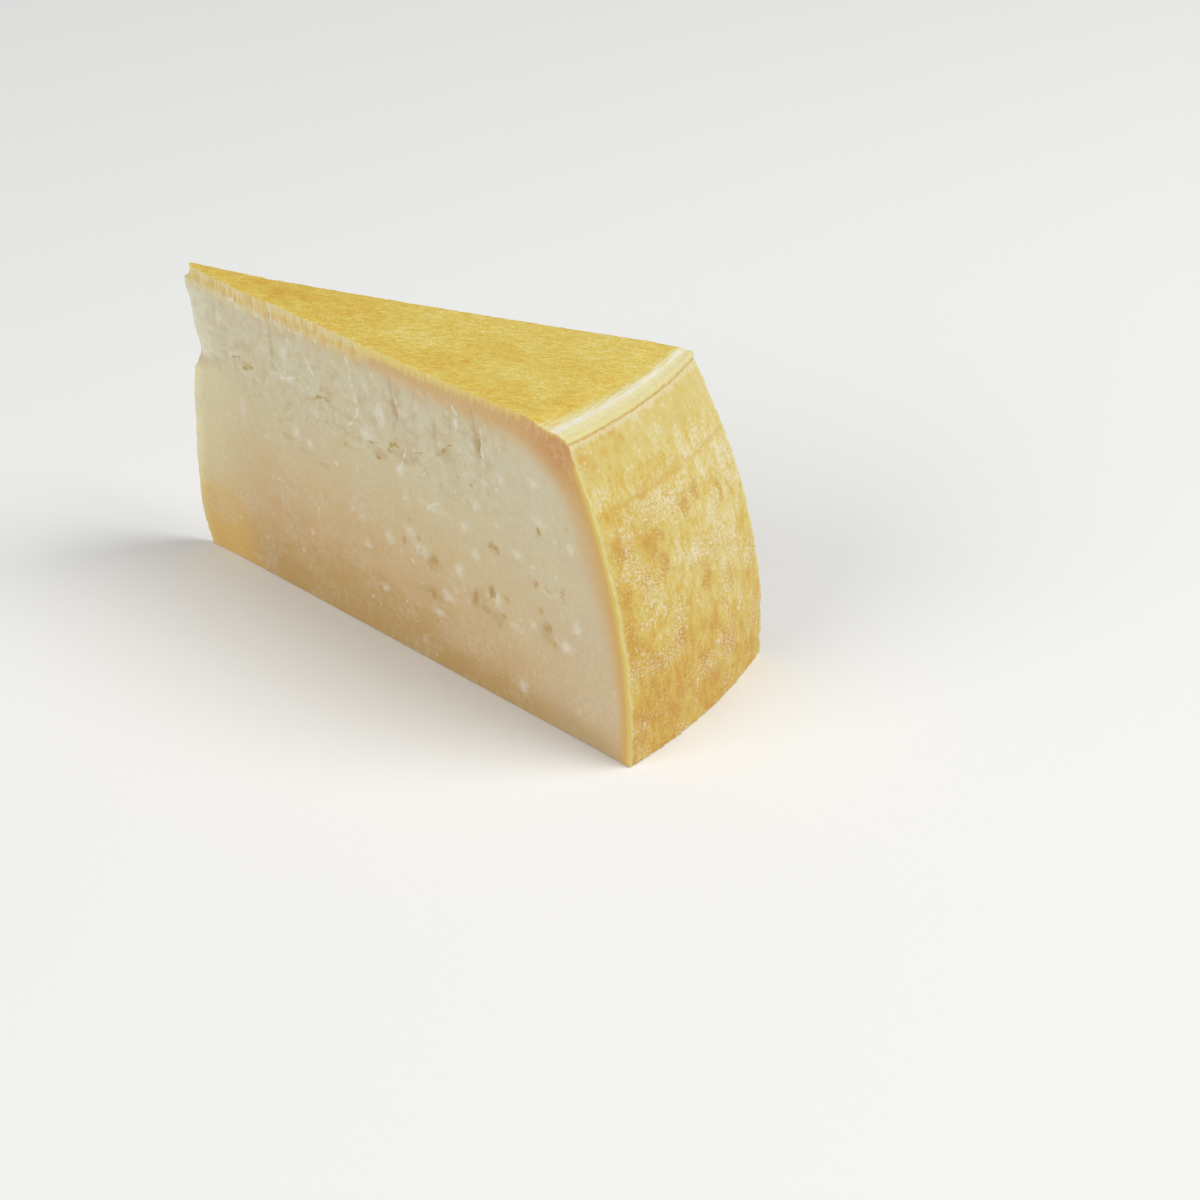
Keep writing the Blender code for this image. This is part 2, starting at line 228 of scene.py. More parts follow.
# Marks of the near cut, in mm along and mm up
nearMarks = {
    # thin dark cracks
    "cracks": (
        ((61, 82), (64, 84.6), (67.3, 85.5), (71.8, 85.2)),
        ((122.2, 84.1), (124.2, 84.9), (126.5, 87.9), (129.7, 91.2)),
        ((98.4, 75.6), (100.2, 79.1), (102.4, 80.6), (105.3, 80.7)), ((102.2, 82.8), (105, 83.8)),
        ((92.3, 72.3), (95.9, 73.1)), ((112.3, 81.5), (117.7, 83)), ((19.5, 85.2), (23.4, 86.2), (26.7, 86)),
        ((24.7, 83.5), (27.6, 82.9), (32, 84.9)), ((142.4, 98.5), (143.4, 94), (142.9, 90)),
        ((88, 79), (91.5, 77.5), (95, 78.6))),
    # thin pale ridges that the knife smeared up
    "scars": (
        ((80.4, 109.3), (82, 101.3), (84.3, 92.2), (85, 87.4), (82, 81.7), (78.1, 78.1)),
        ((41.3, 115), (42.9, 111.6), (43.5, 105.5)), ((103.6, 101.2), (105.2, 96.4), (106.1, 92.6)),
        ((130.1, 107), (133.4, 103.8), (132.6, 96.7)), ((144, 103), (144.5, 91.4)),
        ((108.4, 81.3), (106.1, 74.9), (103.9, 70.9)), ((117.3, 61.6), (120.4, 64.6), (123.6, 66.7)),
        ((115.7, 74.3), (118.8, 76.7)), ((44.4, 85.6), (49.3, 86.8), (54.3, 89.1)),
        ((52.2, 99.5), (52.8, 96.4)),
        ((59.2, 100.5), (63, 93)), ((21, 107), (25, 110.5))),
    # broad soft furrows: start, end, depth, half width
    "furrows": (
        ((100.8, 106), (104, 92), 0.7, 1), ((104, 92), (102.7, 86), 0.4, 1),
        ((129.6, 107), (129.6, 96), 0.55, 0.9), ((139.6, 106.5), (142.6, 92), 0.75, 1),
        ((122.1, 97), (122.6, 88), 0.5, 1.2), ((68.8, 94.5), (67.6, 89), 0.4, 1),
        ((154, 102.5), (154.2, 97), 0.35, 1), ((41.8, 104), (42.4, 93.5), 0.5, 0.8),
        ((50.7, 77.1), (61, 81.8), 0.3, 1), ((113, 104), (113.6, 90), 0.3, 1.2),
        ((93, 103), (94, 92), 0.25, 1.3), ((149.5, 102), (150, 90), 0.25, 1),
        ((76.5, 100), (77.5, 88), 0.25, 1.2)),
    # cavities: centre, half length, half height, depth, turn in degrees
    "pits": (
        (148.5, 59, 2.7, 1.5, 1.6, -14), (146.9, 41.8, 1.5, 3, 1.4, -12), (139, 35, 1.7, 4, 0.9, -12),
        (145.1, 32.7, 2.8, 1.5, 0.8, -8), (151.9, 33.9, 2.3, 1.3, 0.8, 15), (153.5, 41.9, 1.2, 1.4, 0.6, 0),
        (149.9, 29.2, 1.2, 1, 1, 0), (167.5, 53.1, 1.4, 1.4, 1.3, 20), (179.5, 54.4, 0.9, 2.6, 0.9, -6),
        (172, 38.3, 2, 2.1, 1, 20), (169.4, 44.2, 1.2, 1.1, 0.6, 0), (173.9, 33.6, 3.1, 1.2, 0.6, -18),
        (168.9, 74.1, 0.9, 1.3, 0.9, 0), (181.4, 79.3, 0.7, 0.7, 0.7, 0), (119.1, 41.8, 2.2, 3, 0.8, -30),
        (105.1, 44.5, 1.2, 1.9, 1, 0), (107.9, 53.6, 1.3, 1, 0.9, 20), (112.4, 48.1, 0.9, 1.8, 1, -15),
        (119.2, 27.9, 3.6, 2, 0.6, -20), (93, 23.8, 2.3, 1.3, 0.8, 0), (138.7, 79.4, 0.8, 0.8, 0.9, 0),
        (27.2, 86.6, 0.6, 0.5, 0.7, 0), (100.9, 78.3, 0.8, 1.1, 0.9, 0), (94, 72.8, 1.4, 0.8, 0.6, 10),
        (78.7, 71.6, 1.3, 0.7, 0.5, 0), (107, 60, 0.8, 1, 0.5, 0), (173.5, 53, 1.8, 0.9, 0.4, -10)),
    # soft tan stains: centre, half length, half height
    "stains": (
        (119, 41, 4, 4.5), (118, 28.5, 6, 3.6), (172, 36.5, 4, 4.5), (141, 35.5, 4.5, 5.5),
        (150, 32.5, 5, 3), (93, 24.5, 3.6, 2.6), (47, 63.6, 4, 1.3), (56, 61, 4, 1.3),
        (66, 58.8, 4, 1.2), (108, 78, 7, 3), (96, 74.5, 4, 2.4), (128, 86, 5, 3.4),
        (70, 88, 3, 3.6), (142.5, 99, 2.2, 7), (104, 98, 2.4, 6), (28, 84.6, 4.5, 2)),
    # pale patches, where the paste broke rather than cut: centre, half length, half height
    "pale": (
        (119.6, 63.1, 3.6, 1), (141.2, 72.8, 1.3, 1.4), (131.7, 43.7, 2, 2.2), (139.7, 52.9, 1.5, 1.8),
        (115.5, 43.6, 2.3, 1.6), (111.8, 44.8, 1.2, 1.8), (108.4, 49.5, 2.2, 1.5), (98.1, 42.5, 1.7, 1.9),
        (84, 45.4, 1.2, 1), (79.4, 46.8, 0.9, 0.8), (126.6, 30.2, 2.6, 1.5), (121.1, 22.1, 1.8, 1.2),
        (149.6, 39.4, 1.1, 2.8), (157.9, 32.9, 1.9, 0.9), (166.1, 36.6, 1, 0.8), (180.6, 34.4, 2.8, 1.8),
        (94.3, 20.9, 1.4, 1), (113.5, 7.6, 1, 1), (160.9, 9.8, 1.6, 2.2), (159.4, 61.2, 2.3, 1.4),
        (170, 77.5, 2.4, 1.3), (183.2, 72.9, 1.2, 1.5), (86.7, 35.3, 0.9, 0.8), (141.1, 73, 1, 1.4),
        (167.3, 91, 2, 1.3), (152.6, 86.6, 1.1, 1.3), (16, 100.5, 1.1, 2.2), (24, 66, 1, 2.4),
        (52, 66.5, 1.3, 2), (59.5, 65, 1.2, 1.4), (48.4, 96.5, 1.9, 2.4), (45, 87, 2.6, 0.9),
        (51, 86.8, 2.8, 1), (5, 83, 2.2, 1.6), (21, 86.9, 2.4, 0.8), (53.2, 114, 2.8, 0.8),
        (25, 109, 1.4, 1.8), (104.6, 72, 1.6, 2), (89, 80, 3, 2), (173.5, 52.5, 2.6, 0.8),
        (107, 61, 1, 1.6), (135, 62, 1.6, 1.2), (186, 44, 1.6, 2.2), (96, 90, 2.2, 3.4),
        (29, 107.2, 1.6, 1.4), (37, 108, 1.2, 1.6), (47, 107, 1.2, 2), (57, 106.8, 1.6, 1.2)),
    # gold dabs of the rind that the knife drew down: centre, half length, half height
    "dabs": (
        (6, 110.8, 1.6, 2), (12.6, 111, 2.6, 2), (20, 110.5, 1.6, 2.4), (26, 110.4, 1.3, 2),
        (32.5, 110.8, 2.2, 2.2), (40.5, 111.2, 1.4, 1.8), (50, 109.5, 1.6, 2.4), (55.6, 111, 1.2, 1.8),
        (61.2, 110.2, 2.2, 1.9), (65.8, 110.4, 1.1, 1.7), (70.4, 109.6, 1.3, 2), (77.8, 109.5, 1.5, 2.2),
        (84.2, 110.6, 1.4, 1.8), (92, 111.4, 2.4, 1.4), (100.5, 111.6, 1.6, 1.3), (108, 112, 1.3, 1)),
    "slabEnd": 42.6, "slabFoot": 88, "slabProud": 0.9,    # a slab at the thin end that stands proud
    "seed": 0,
}

# The far cut isn't seen. It broke in the same way, at places of its own
farMarks = {
    "cracks": (
        ((76, 74), (81, 75.5), (84, 78.2), (88.5, 79)), ((134, 84), (138, 82.6), (142, 78.5)),
        ((104, 66), (110, 68)), ((58, 88), (63, 90.2)), ((150, 71), (163, 66), (172, 65))),
    "scars": (
        ((63, 106), (65.5, 94), (66, 86)), ((121.5, 106), (123.5, 95), (121, 86)),
        ((94, 99), (93, 88)), ((36, 100), (38, 90)), ((147, 60), (151, 63))),
    "furrows": (
        ((58, 105), (61, 84), 0.8, 1), ((92, 102), (90, 80), 0.7, 1),
        ((117, 106), (119.5, 90), 0.9, 0.9), ((104, 104), (106, 93), 0.5, 0.9),
        ((32, 101), (33.5, 88), 0.6, 0.9), ((138, 101), (137, 88), 0.4, 1.1),
        ((76, 98), (77, 87), 0.3, 1.2)),
    "pits": (
        (66, 52, 1.9, 1.6, 1.2, 0), (84, 44, 1.4, 2.2, 1.1, 10), (97, 57, 2, 1.2, 1, 0),
        (128, 49, 1.6, 1.9, 1.4, 0), (133, 44, 2.2, 1.2, 1, 15), (137, 38, 1.6, 1.6, 1.1, 0),
        (152, 61, 1.2, 2.2, 1.2, 0), (160, 33, 2.2, 1.3, 1, 0), (176, 47, 1.6, 1.2, 1.1, 0),
        (112, 71, 1.4, 1.2, 0.9, 0), (90, 31, 1.2, 1.2, 0.8, 0), (146, 55, 1.1, 1, 0.9, 0)),
    "stains": (
        (130, 45, 5, 5), (66, 51, 4, 3), (97, 56, 4, 2.4), (154, 60, 3, 4),
        (84, 78, 6, 3), (138, 81, 5, 3), (60, 94, 2.4, 7), (118, 98, 2.4, 6)),
    "pale": (
        (60, 94, 1.6, 4), (90, 92, 2, 3), (119, 98, 1.8, 4), (70, 55, 2.4, 1.6),
        (130, 52, 2.2, 1.8), (139, 41, 2, 1.6), (100, 66, 3, 1.4), (155, 64, 1.8, 2.6),
        (163, 35, 2.4, 1.4), (45, 72, 2, 2), (30, 58, 1.6, 2.6), (172, 80, 2.2, 1.6)),
    "dabs": (
        (9, 110.8, 1.8, 2.2), (17, 111.2, 1.4, 1.8), (24, 110.4, 2.2, 2.2), (35, 110.9, 1.6, 2),
        (44, 110.2, 1.3, 2.4), (52, 111, 2, 1.8), (63, 110.4, 1.5, 2), (72, 111.2, 1.8, 1.6),
        (81, 110.2, 1.3, 2.2), (90, 111.4, 1.6, 1.4), (99, 111.8, 1.4, 1.2)),
    "slabEnd": 0, "slabFoot": 88, "slabProud": 0,
    "seed": 31,
}


# 0 below low, 1 above high, smooth between
def smoothStep(low, high, value):
    share = np.clip((value - low) / (high - low), 0.0, 1.0)
    return share * share * (3.0 - 2.0 * share)


# Smooth noise from -1 to 1 at many points, each coordinate divided by its own size in mm
def noiseAt(sizes, seed, *coordinates):
    scaled = [np.broadcast_to(c, coordinates[0].shape) / s for c, s in zip(coordinates, sizes)]
    while len(scaled) < 3:
        scaled.append(np.zeros_like(coordinates[0]))
    scaled[-1] = scaled[-1] + seed
    return np.array([noise.noise(point) for point in zip(*(c.tolist() for c in scaled))])


# A place seen along a direction turned from the X axis
def turned(x, y, degrees):
    cosTurn, sinTurn = math.cos(math.radians(degrees)), math.sin(math.radians(degrees))
    return x * cosTurn + y * sinTurn, y * cosTurn - x * sinTurn


# Radius of the wheel's side at a height. The lip stands in and out a little, and differs between the cuts
def sideRadius(level, farShare=0.5):
    share = level / wedgeForm["height"]
    radius = wedgeForm["bellyRadius"] + wedgeForm["sideLean"] * share - wedgeForm["sideBulge"] * share ** 2
    groove = np.exp(-((level - wedgeForm["grooveHeight"]) / wedgeForm["grooveWidth"]) ** 2)
    nearInset, farInset = wedgeForm["lipInset"]
    lipTop = wedgeForm["height"] - wedgeForm["rimFall"][0]
    inset = nearInset + (farInset - nearInset) * farShare
    inset = inset * smoothStep(wedgeForm["grooveHeight"], lipTop, level)
    return radius - wedgeForm["grooveDepth"] * groove - inset


# Where a line from the cuts' meeting line reaches the wheel's side
def alongToSide(slope, radius):
    centreX, centreY = wedgeForm["wheelCentre"]
    middle = centreX + slope * centreY
    rest = centreX ** 2 + centreY ** 2 - radius ** 2
    return (middle + np.sqrt(middle ** 2 - (1.0 + slope ** 2) * rest)) / (1.0 + slope ** 2)


# How far a place lies inside the rim of the flat side
def insideRim(x, y):
    centreX, centreY = wedgeForm["wheelCentre"]
    return sideRadius(wedgeForm["height"]) - np.hypot(x - centreX, y - centreY)


# Height of the flat side, which dishes, rises at the thin end and falls to the rim
def topHeight(x, y):
    inside = insideRim(x, y)
    topRadius = sideRadius(wedgeForm["height"])
    flatShare = np.clip((topRadius - inside) / (topRadius - wedgeForm["rimInner"]), 0.0, 1.0)
    dish = wedgeForm["dishDepth"] * np.sin(math.pi * flatShare)
    rise = wedgeForm["endRise"] * (1.0 - smoothStep(0.0, wedgeForm["endRiseRun"], x))
    farShare = 0.5 + 0.5 * y / (topRadius * halfSlope)
    nearFall, farFall = wedgeForm["rimFall"]
    rimFall = nearFall + (farFall - nearFall) * farShare
    fall = rimFall * (1.0 - smoothStep(wedgeForm["rimCrease"], wedgeForm["rimInner"], inside))
    edge = wedgeForm["lipDrop"] * (1.0 - smoothStep(0.0, wedgeForm["lipWidth"], inside))
    return wedgeForm["height"] + rise - dish - fall - edge


# Height of a level: even up to the groove, and from there spread to the flat side
def heightAt(upShare, x, y):
    grooveShare = wedgeForm["grooveHeight"] / wedgeForm["height"]
    share = (upShare - grooveShare) / (1.0 - grooveShare)
    spread = wedgeForm["grooveHeight"] + share * (topHeight(x, y) - wedgeForm["grooveHeight"])
    return np.where(upShare <= grooveShare, upShare * wedgeForm["height"], spread)


# How marks lie on a cut, in mm. Wobble is the slow noise, about -1 to 1, that makes their edges uneven
markForm = {
    "farAway": 1000,
    "lineReach": 0.9,               # a thin line is full this far from its middle
    "lineFade": 1.8,                # and gone at this many times that
    "lineEnd": (-0.3, 1.6),         # over which it grows at both ends
    "lineAcross": 3,                # the distance across it is kept within this
    "lineUneven": (0.75, 0, 1.4),   # how strong it is by places: mean, least, most
    "lineWobble": (1.5, 0.8),       # mm that wobble moves a crack and a scar
    "crack": (0.45, 0.85),          # depth, half width
    "scar": (0.4, 0.7),             # height, half width
    "furrowWobble": 1.2,            # mm that wobble moves a furrow
    "furrowEnd": 0.6,               # below 1, a furrow ends more slowly than its sides do
    "furrowUneven": (0.85, 0.7),    # mean share of its depth, and how much wobble changes that
    "furrowMost": 2,                # most share of its depth
    "ovalLeast": -4,                # the distance inside an oval is kept over this
    "ovalUneven": 0.7,              # mm that wobble moves an oval's edge
    "ovalWobble": 1.7,              # times as much for cavities and pale patches
    "softUneven": 0.8,              # how much wobble changes a soft oval
    "dabWobble": 1.5,               # mm that wobble moves a dab along
    "pitShare": 0.7,                # of the depth in the lists
    "pitEdge": (-0.5, 1),           # mm inside its edge over which a cavity deepens
    "pitDeepest": 1.5,
    "paleProud": 0.12,
    "paleEdge": (-0.3, 0.8),        # mm inside its edge over which a pale patch rises
    "slabEdge": 0.8,
    "slabFoot": 5,
}


# For the nearest of several bent lines: mm across it, signed, and 1 on it, 0 away from it and past its ends
def nearestLine(lines, along, up):
    nearest = np.full_like(along, markForm["farAway"])
    across = np.full_like(along, markForm["farAway"])
    inside = np.full_like(along, -markForm["farAway"])
    for line in lines:
        points = np.array(line)
        runs = np.diff(points, axis=0)
        lengths = np.hypot(runs[:, 0], runs[:, 1])
        reached = 0.0
        for start, run, length in zip(points, runs, lengths):
            offAlong, offUp = along - start[0], up - start[1]
            share = (offAlong * run[0] + offUp * run[1]) / length ** 2
            kept = np.clip(share, 0.0, 1.0)
            away = np.hypot(offAlong - kept * run[0], offUp - kept * run[1])
            place = reached + share * length
            closer = away < nearest
            nearest = np.where(closer, away, nearest)
            across = np.where(closer, (offUp * run[0] - offAlong * run[1]) / length, across)
            inside = np.where(closer, np.minimum(place, lengths.sum() - place), inside)
            reached += length
    reach = markForm["lineReach"]
    share = 1.0 - smoothStep(reach, markForm["lineFade"] * reach, nearest)
    share = share * smoothStep(*markForm["lineEnd"], inside)
    return np.clip(across, -markForm["lineAcross"], markForm["lineAcross"]), share


# Depth of the soft furrows, in mm. Their edges wander, so that none is a ruled line
def furrowDepth(marks, along, up, wobble):
    depth = np.zeros_like(along)
    mean, change = markForm["furrowUneven"]
    uneven = np.clip(mean + change * wobble, 0.0, markForm["furrowMost"])
    for (startAlong, startUp), (endAlong, endUp), deepest, halfWidth in marks["furrows"]:
        runAlong, runUp = endAlong - startAlong, endUp - startUp
        offAlong, offUp = along + markForm["furrowWobble"] * wobble - startAlong, up - startUp
        share = np.clip((offAlong * runAlong + offUp * runUp) / (runAlong ** 2 + runUp ** 2), 0.0, 1.0)
        away = np.hypot(offAlong - share * runAlong, markForm["furrowEnd"] * (offUp - share * runUp))
        depth += deepest * np.exp(-(away / halfWidth) ** 2) * uneven
    return depth


# Nearest of several ovals: mm inside its uneven edge, and its depth
def nearestOval(ovals, along, up, wobble):
    inside = np.full_like(along, markForm["ovalLeast"])
    depth = np.zeros_like(along)
    for centreAlong, centreUp, halfLength, halfHeight, deepest, turn in ovals:
        offLength, offHeight = turned(along - centreAlong, up - centreUp, turn)
        away = np.hypot(offLength / halfLength, offHeight / halfHeight)
        here = (1.0 - away) * min(halfLength, halfHeight) + markForm["ovalUneven"] * wobble
        depth = np.where(here > inside, deepest, depth)
        inside = np.maximum(inside, here)
    return inside, depth


# Nearness to several ovals that fade outwards, 1 at their centres
def softOvals(ovals, along, up, wobble):
    share = np.zeros_like(along)
    for centreAlong, centreUp, halfLength, halfHeight in ovals:
        away = ((along - centreAlong) / halfLength) ** 2 + ((up - centreUp) / halfHeight) ** 2
        share = np.maximum(share, np.exp(-away * (1.0 + markForm["softUneven"] * wobble)))
    return share


# Noises of the cuts: size in mm along and up, own seed, and height in mm or strength
cutNoises = {
    "wobble": ((2.3, 3), 5, 1),            # makes the edges of marks uneven
    "ragged": ((2, 2), 21, 1.6),           # breaks thin lines
    "swell": ((34, 26), 0, 0.35),
    "crag": ((8, 22), 7, 0.55),            # upright crags
    "crumb": ((4.2, 4.8), 13, 0.34),
    "fineCrumb": ((1.9, 2.2), 15, 0.28),
    "streak": ((3.4, 9), 9, 0.16),         # drawn down by the knife
    "grain": ((2.2, 2.2), 17, 0.05),
    "wideGrain": ((5.5, 4), 19, 0.04),
    "curd": ((13, 11), 27, 0.6),
    "rosy": ((24, 17), 25, 1),
}

# Where things change over a cut, in mm
cutZones = {
    "border": (66, 9, 30),     # height of the crumbled part's foot, how far it wanders, and over what length
    "borderWidth": (-6, 10),   # below and above that height
    "wholeHeel": (146, 172),   # along: the crumbled part ends towards the heel
    "straightTop": (101, 110), # up: the rind keeps its edge straight
    "calmed": 0.8,             # share of the relief that it takes away
    "foot": (0, 7),            # up: the wire kept the foot's edge straight
    "rosyUp": (30, 72),
    "rosyAlong": (140, 185),
    "rosyShare": 0.5,          # near the heel
    "curdMean": 0.75,
    "streakWobble": 1.2,
}


# 1 in the crumbled upper part of a cut, 0 in the smooth part below
def brokenShare(marks, along, up):
    middle, wander, size = cutZones["border"]
    below, over = cutZones["borderWidth"]
    border = middle + wander * noiseAt((size,), marks["seed"], along)
    rightEnd = 1.0 - smoothStep(*cutZones["wholeHeel"], along)
    return smoothStep(border + below, border + over, up) * rightEnd


# How far a cut stands out, in mm, with the masks that its material needs
def cutRelief(marks, along, up):
    def layNoise(name, place=along):
        size, ownSeed, height = cutNoises[name]
        return height * noiseAt(size, marks["seed"] + ownSeed, place, up)

    wobble = layNoise("wobble")
    mean, least, most = markForm["lineUneven"]
    ragged = np.clip(mean + layNoise("ragged"), least, most)
    broken = brokenShare(marks, along, up)
    furrows = furrowDepth(marks, along, up, wobble)
    crackWobble, scarWobble = (moved * wobble for moved in markForm["lineWobble"])
    crackAcross, crackNear = nearestLine(marks["cracks"], along + crackWobble, up + crackWobble)
    scarAcross, scarNear = nearestLine(marks["scars"], along + scarWobble, up)
    crackNear, scarNear = crackNear * ragged, scarNear * ragged
    ovalWobble = markForm["ovalWobble"] * wobble
    pitInside, pitDepth = nearestOval(marks["pits"], along, up, ovalWobble)
    pits = markForm["pitShare"] * pitDepth * smoothStep(*markForm["pitEdge"], pitInside)
    paleOvals = [oval + (0, 0) for oval in marks["pale"]]
    paleInside, _ = nearestOval(paleOvals, along, up, ovalWobble)

    crumb = layNoise("crumb") + layNoise("fineCrumb")
    streak = layNoise("streak", along + cutZones["streakWobble"] * wobble)
    grain = layNoise("grain") + layNoise("wideGrain")
    slabEdge = smoothStep(-markForm["slabEdge"], markForm["slabEdge"], along - marks["slabEnd"] - wobble)
    slab = marks["slabProud"] * (1.0 - slabEdge)
    slab = slab * smoothStep(marks["slabFoot"] - markForm["slabFoot"], marks["slabFoot"], up)
    crackDepth, crackWidth = markForm["crack"]
    cracks = crackDepth * crackNear * np.exp(-(crackAcross / crackWidth) ** 2)
    scarHeight, scarWidth = markForm["scar"]
    scars = scarHeight * scarNear * np.exp(-(scarAcross / scarWidth) ** 2)

    calmTop = 1.0 - cutZones["calmed"] * smoothStep(*cutZones["straightTop"], up)
    relief = (layNoise("swell") + (layNoise("crag") + crumb + streak) * broken) * calmTop
    relief = relief + grain + slab - furrows - pits - cracks + scars
    relief = relief + markForm["paleProud"] * smoothStep(*markForm["paleEdge"], paleInside)
    relief = relief * smoothStep(*cutZones["foot"], up)
    rosy = layNoise("rosy") * smoothStep(*cutZones["rosyUp"], up)
    masks = {
        # depth of the furrows, for the painted shade in them
        "furrow": np.clip(furrows, 0.0, 1.0), "stain": softOvals(marks["stains"], along, up, wobble),
        "crackAcross": crackAcross, "crackNear": crackNear, "scarAcross": scarAcross, "scarNear": scarNear,
        "broken": broken,
        "curd": cutZones["curdMean"] + layNoise("curd"),
        "dab": softOvals(marks["dabs"], along + markForm["dabWobble"] * wobble, up, wobble),
        "rosy": rosy + cutZones["rosyShare"] * smoothStep(*cutZones["rosyAlong"], along),
        "paleInside": paleInside, "pitInside": pitInside,
        # deeper inside a cavity, for the painted shade in it
        "pitDeep": pitInside - markForm["pitShare"] * (markForm["pitDeepest"] - pitDepth),
    }
    return relief, masks


# Surface of a unit block as a grid. Returns the shares of each point, the faces and the side of each face
def blockGrid(levelsAlong, levelsAcross, levelsUp):
    lastAlong, lastAcross, lastUp = len(levelsAlong) - 1, len(levelsAcross) - 1, len(levelsUp) - 1

    def key(i, j, k):
        j = np.where(i == 0, 0, j)      # the thin end is one line of points
        return (i * (lastAcross + 1) + j) * (lastUp + 1) + k

    def patch(countA, countB, place):
        a, b = np.meshgrid(np.arange(countA), np.arange(countB), indexing="ij")
        a, b = a.ravel(), b.ravel()
        return np.stack([key(*place(a + da, b + db)) for da, db in ((0, 0), (1, 0), (1, 1), (0, 1))], axis=1)

    zero = np.zeros(1, int)
    sides = {
        "near": patch(lastAlong, lastUp, lambda a, b: (a, a * 0, b)),
        "far": patch(lastAlong, lastUp, lambda a, b: (a, a * 0 + lastAcross, b))[:, ::-1],
        "top": patch(lastAlong, lastAcross, lambda a, b: (a, b, a * 0 + lastUp)),
        "heel": patch(lastAcross, lastUp, lambda a, b: (a * 0 + lastAlong, a, b)),
    }
    tip = key(zero, zero, zero)
    footFar = key(np.arange(1, lastAlong + 1), np.full(lastAlong, lastAcross), 0)
    footHeel = key(np.full(lastAcross, lastAlong), np.arange(lastAcross - 1, -1, -1), 0)
    footNear = key(np.arange(lastAlong - 1, 0, -1), np.zeros(lastAlong - 1, int), 0)
    foot = np.concatenate([tip, footFar, footHeel, footNear])

    keys = np.unique(np.concatenate([quads.ravel() for quads in sides.values()] + [foot]))
    k = keys % (lastUp + 1)
    j = (keys // (lastUp + 1)) % (lastAcross + 1)
    i = keys // ((lastUp + 1) * (lastAcross + 1))
    shares = np.stack([levelsAlong[i], levelsAcross[j], levelsUp[k]], axis=1)
    faces, faceSides = [], []
    for side, quads in sides.items():
        for quad in np.searchsorted(keys, quads).tolist():
            faces.append(list(dict.fromkeys(quad)))
            faceSides.append(side)
    faces.append(np.searchsorted(keys, foot).tolist())
    faceSides.append("foot")
    return shares, faces, faceSides


# Where the paste is more or less tan and dark: partly its own tone, and towards the foot painted shade and warm
# bounce light. A share goes with the mm over which it comes in
tanAndShadeForm = {
    "foot": (1.06, 95, 1.15),      # most, height where it ends, and how it bends on the way
    "overFoot": (2, 16),           # up: the shares below start over the foot
    "middle": (0.24, (95, 150)),
    "heelSide": (0.16, (165, 195)),
    "thinEnd": (0.2, (8, 42)),
    "footHeel": (0.04, (120, 180)),
    "underRind": (0.06, (95, 112)),
}


# How tan and dark the paste is, 0 to 1: creamy where it broke above, darker and warmer towards the foot, where
# painted shade and warm bounce light lie over a little of the paste's own tone
def pasteTanAndShade(along, level):
    def part(name, place):
        share, zone = tanAndShadeForm[name]
        return share * smoothStep(*zone, place)

    most, end, bend = tanAndShadeForm["foot"]
    warmth = most * np.clip(1.0 - level / end, 0.0, 1.0) ** bend
    calm = smoothStep(*tanAndShadeForm["overFoot"], level)
    warmth = warmth * (1.0 - calm * (part("middle", along) + part("heelSide", along)))
    warmth = warmth * (1.0 - calm * (tanAndShadeForm["thinEnd"][0] - part("thinEnd", along)))
    warmth = warmth - part("footHeel", along) * (1.0 - calm)
    return warmth + tanAndShadeForm["underRind"][0] - part("underRind", level)


# The tan band of drier paste, in mm. A change goes with the mm over which it comes in
bandForm = {
    "shoulder": (184, 106), "shoulderReach": (26, 12.5),    # along and up
    "besideWidth": (8, 11, (10, 85)),                       # at the foot, and how much more above
    "aboveWidth": (14, 4.5, (70, 150)),                     # at the thin end, and how much more at the heel
    "shoulderNarrows": 1.5,
    "cornerSharpness": 3,
    "strength": 0.8, "shoulderStrength": 0.2,
    "thinEnd": (0.45, (15, 50)),                            # how much weaker it is there
    "fade": (0.15, 1),                                      # shares of its width
}


# Share of the tan band of drier paste beside the heel and under the top rind, and of its orange part at the
# shoulder, where it is widest
def rindBand(along, level, beside, above):
    centreAlong, centreUp = bandForm["shoulder"]
    reachAlong, reachUp = bandForm["shoulderReach"]
    shoulder = np.exp(-((along - centreAlong) / reachAlong) ** 2 - ((level - centreUp) / reachUp) ** 2)
    width, more, zone = bandForm["besideWidth"]
    fromSide = beside / (width + more * smoothStep(*zone, level))
    width, more, zone = bandForm["aboveWidth"]
    fromTop = above / (width + more * smoothStep(*zone, along) - bandForm["shoulderNarrows"] * shoulder)
    sharpness = bandForm["cornerSharpness"]
    nearest = -np.log(np.exp(-sharpness * fromSide) + np.exp(-sharpness * fromTop)) / sharpness
    weaker, zone = bandForm["thinEnd"]
    strength = bandForm["strength"] + bandForm["shoulderStrength"] * shoulder
    strength = strength - weaker * (1.0 - smoothStep(*zone, along))
    share = np.clip(strength * (1.0 - smoothStep(*bandForm["fade"], nearest)), 0.0, 1.0)
    return share, share * shoulder


# Clouds of the flat rind, more orange above 0 and paler below: x, y, half length, half width, strength
rindClouds = (
    (44, 1, 14, 6, 0.5), (24, 0, 20, 6, 0.25), (67, 8, 14, 5, 0.25),
    (120, -12, 13, 5, 0.32), (146, -19, 9, 5, 0.3), (133, 1, 12, 5, 0.3),
    (166, -17, 5, 8, 0.35), (164, 3, 10, 3, 0.25), (78, 1, 16, 6, 0.2),
    (97, -3, 14, 5, -0.25), (109, -5.5, 8, 4, -0.15), (157, 14, 10, 3, -0.2),
    (143, -10, 9, 4, -0.3), (158, -14, 6, 4, -0.25), (172, 22, 12, 8, -0.15),
    (110, 14, 22, 5, -0.1))


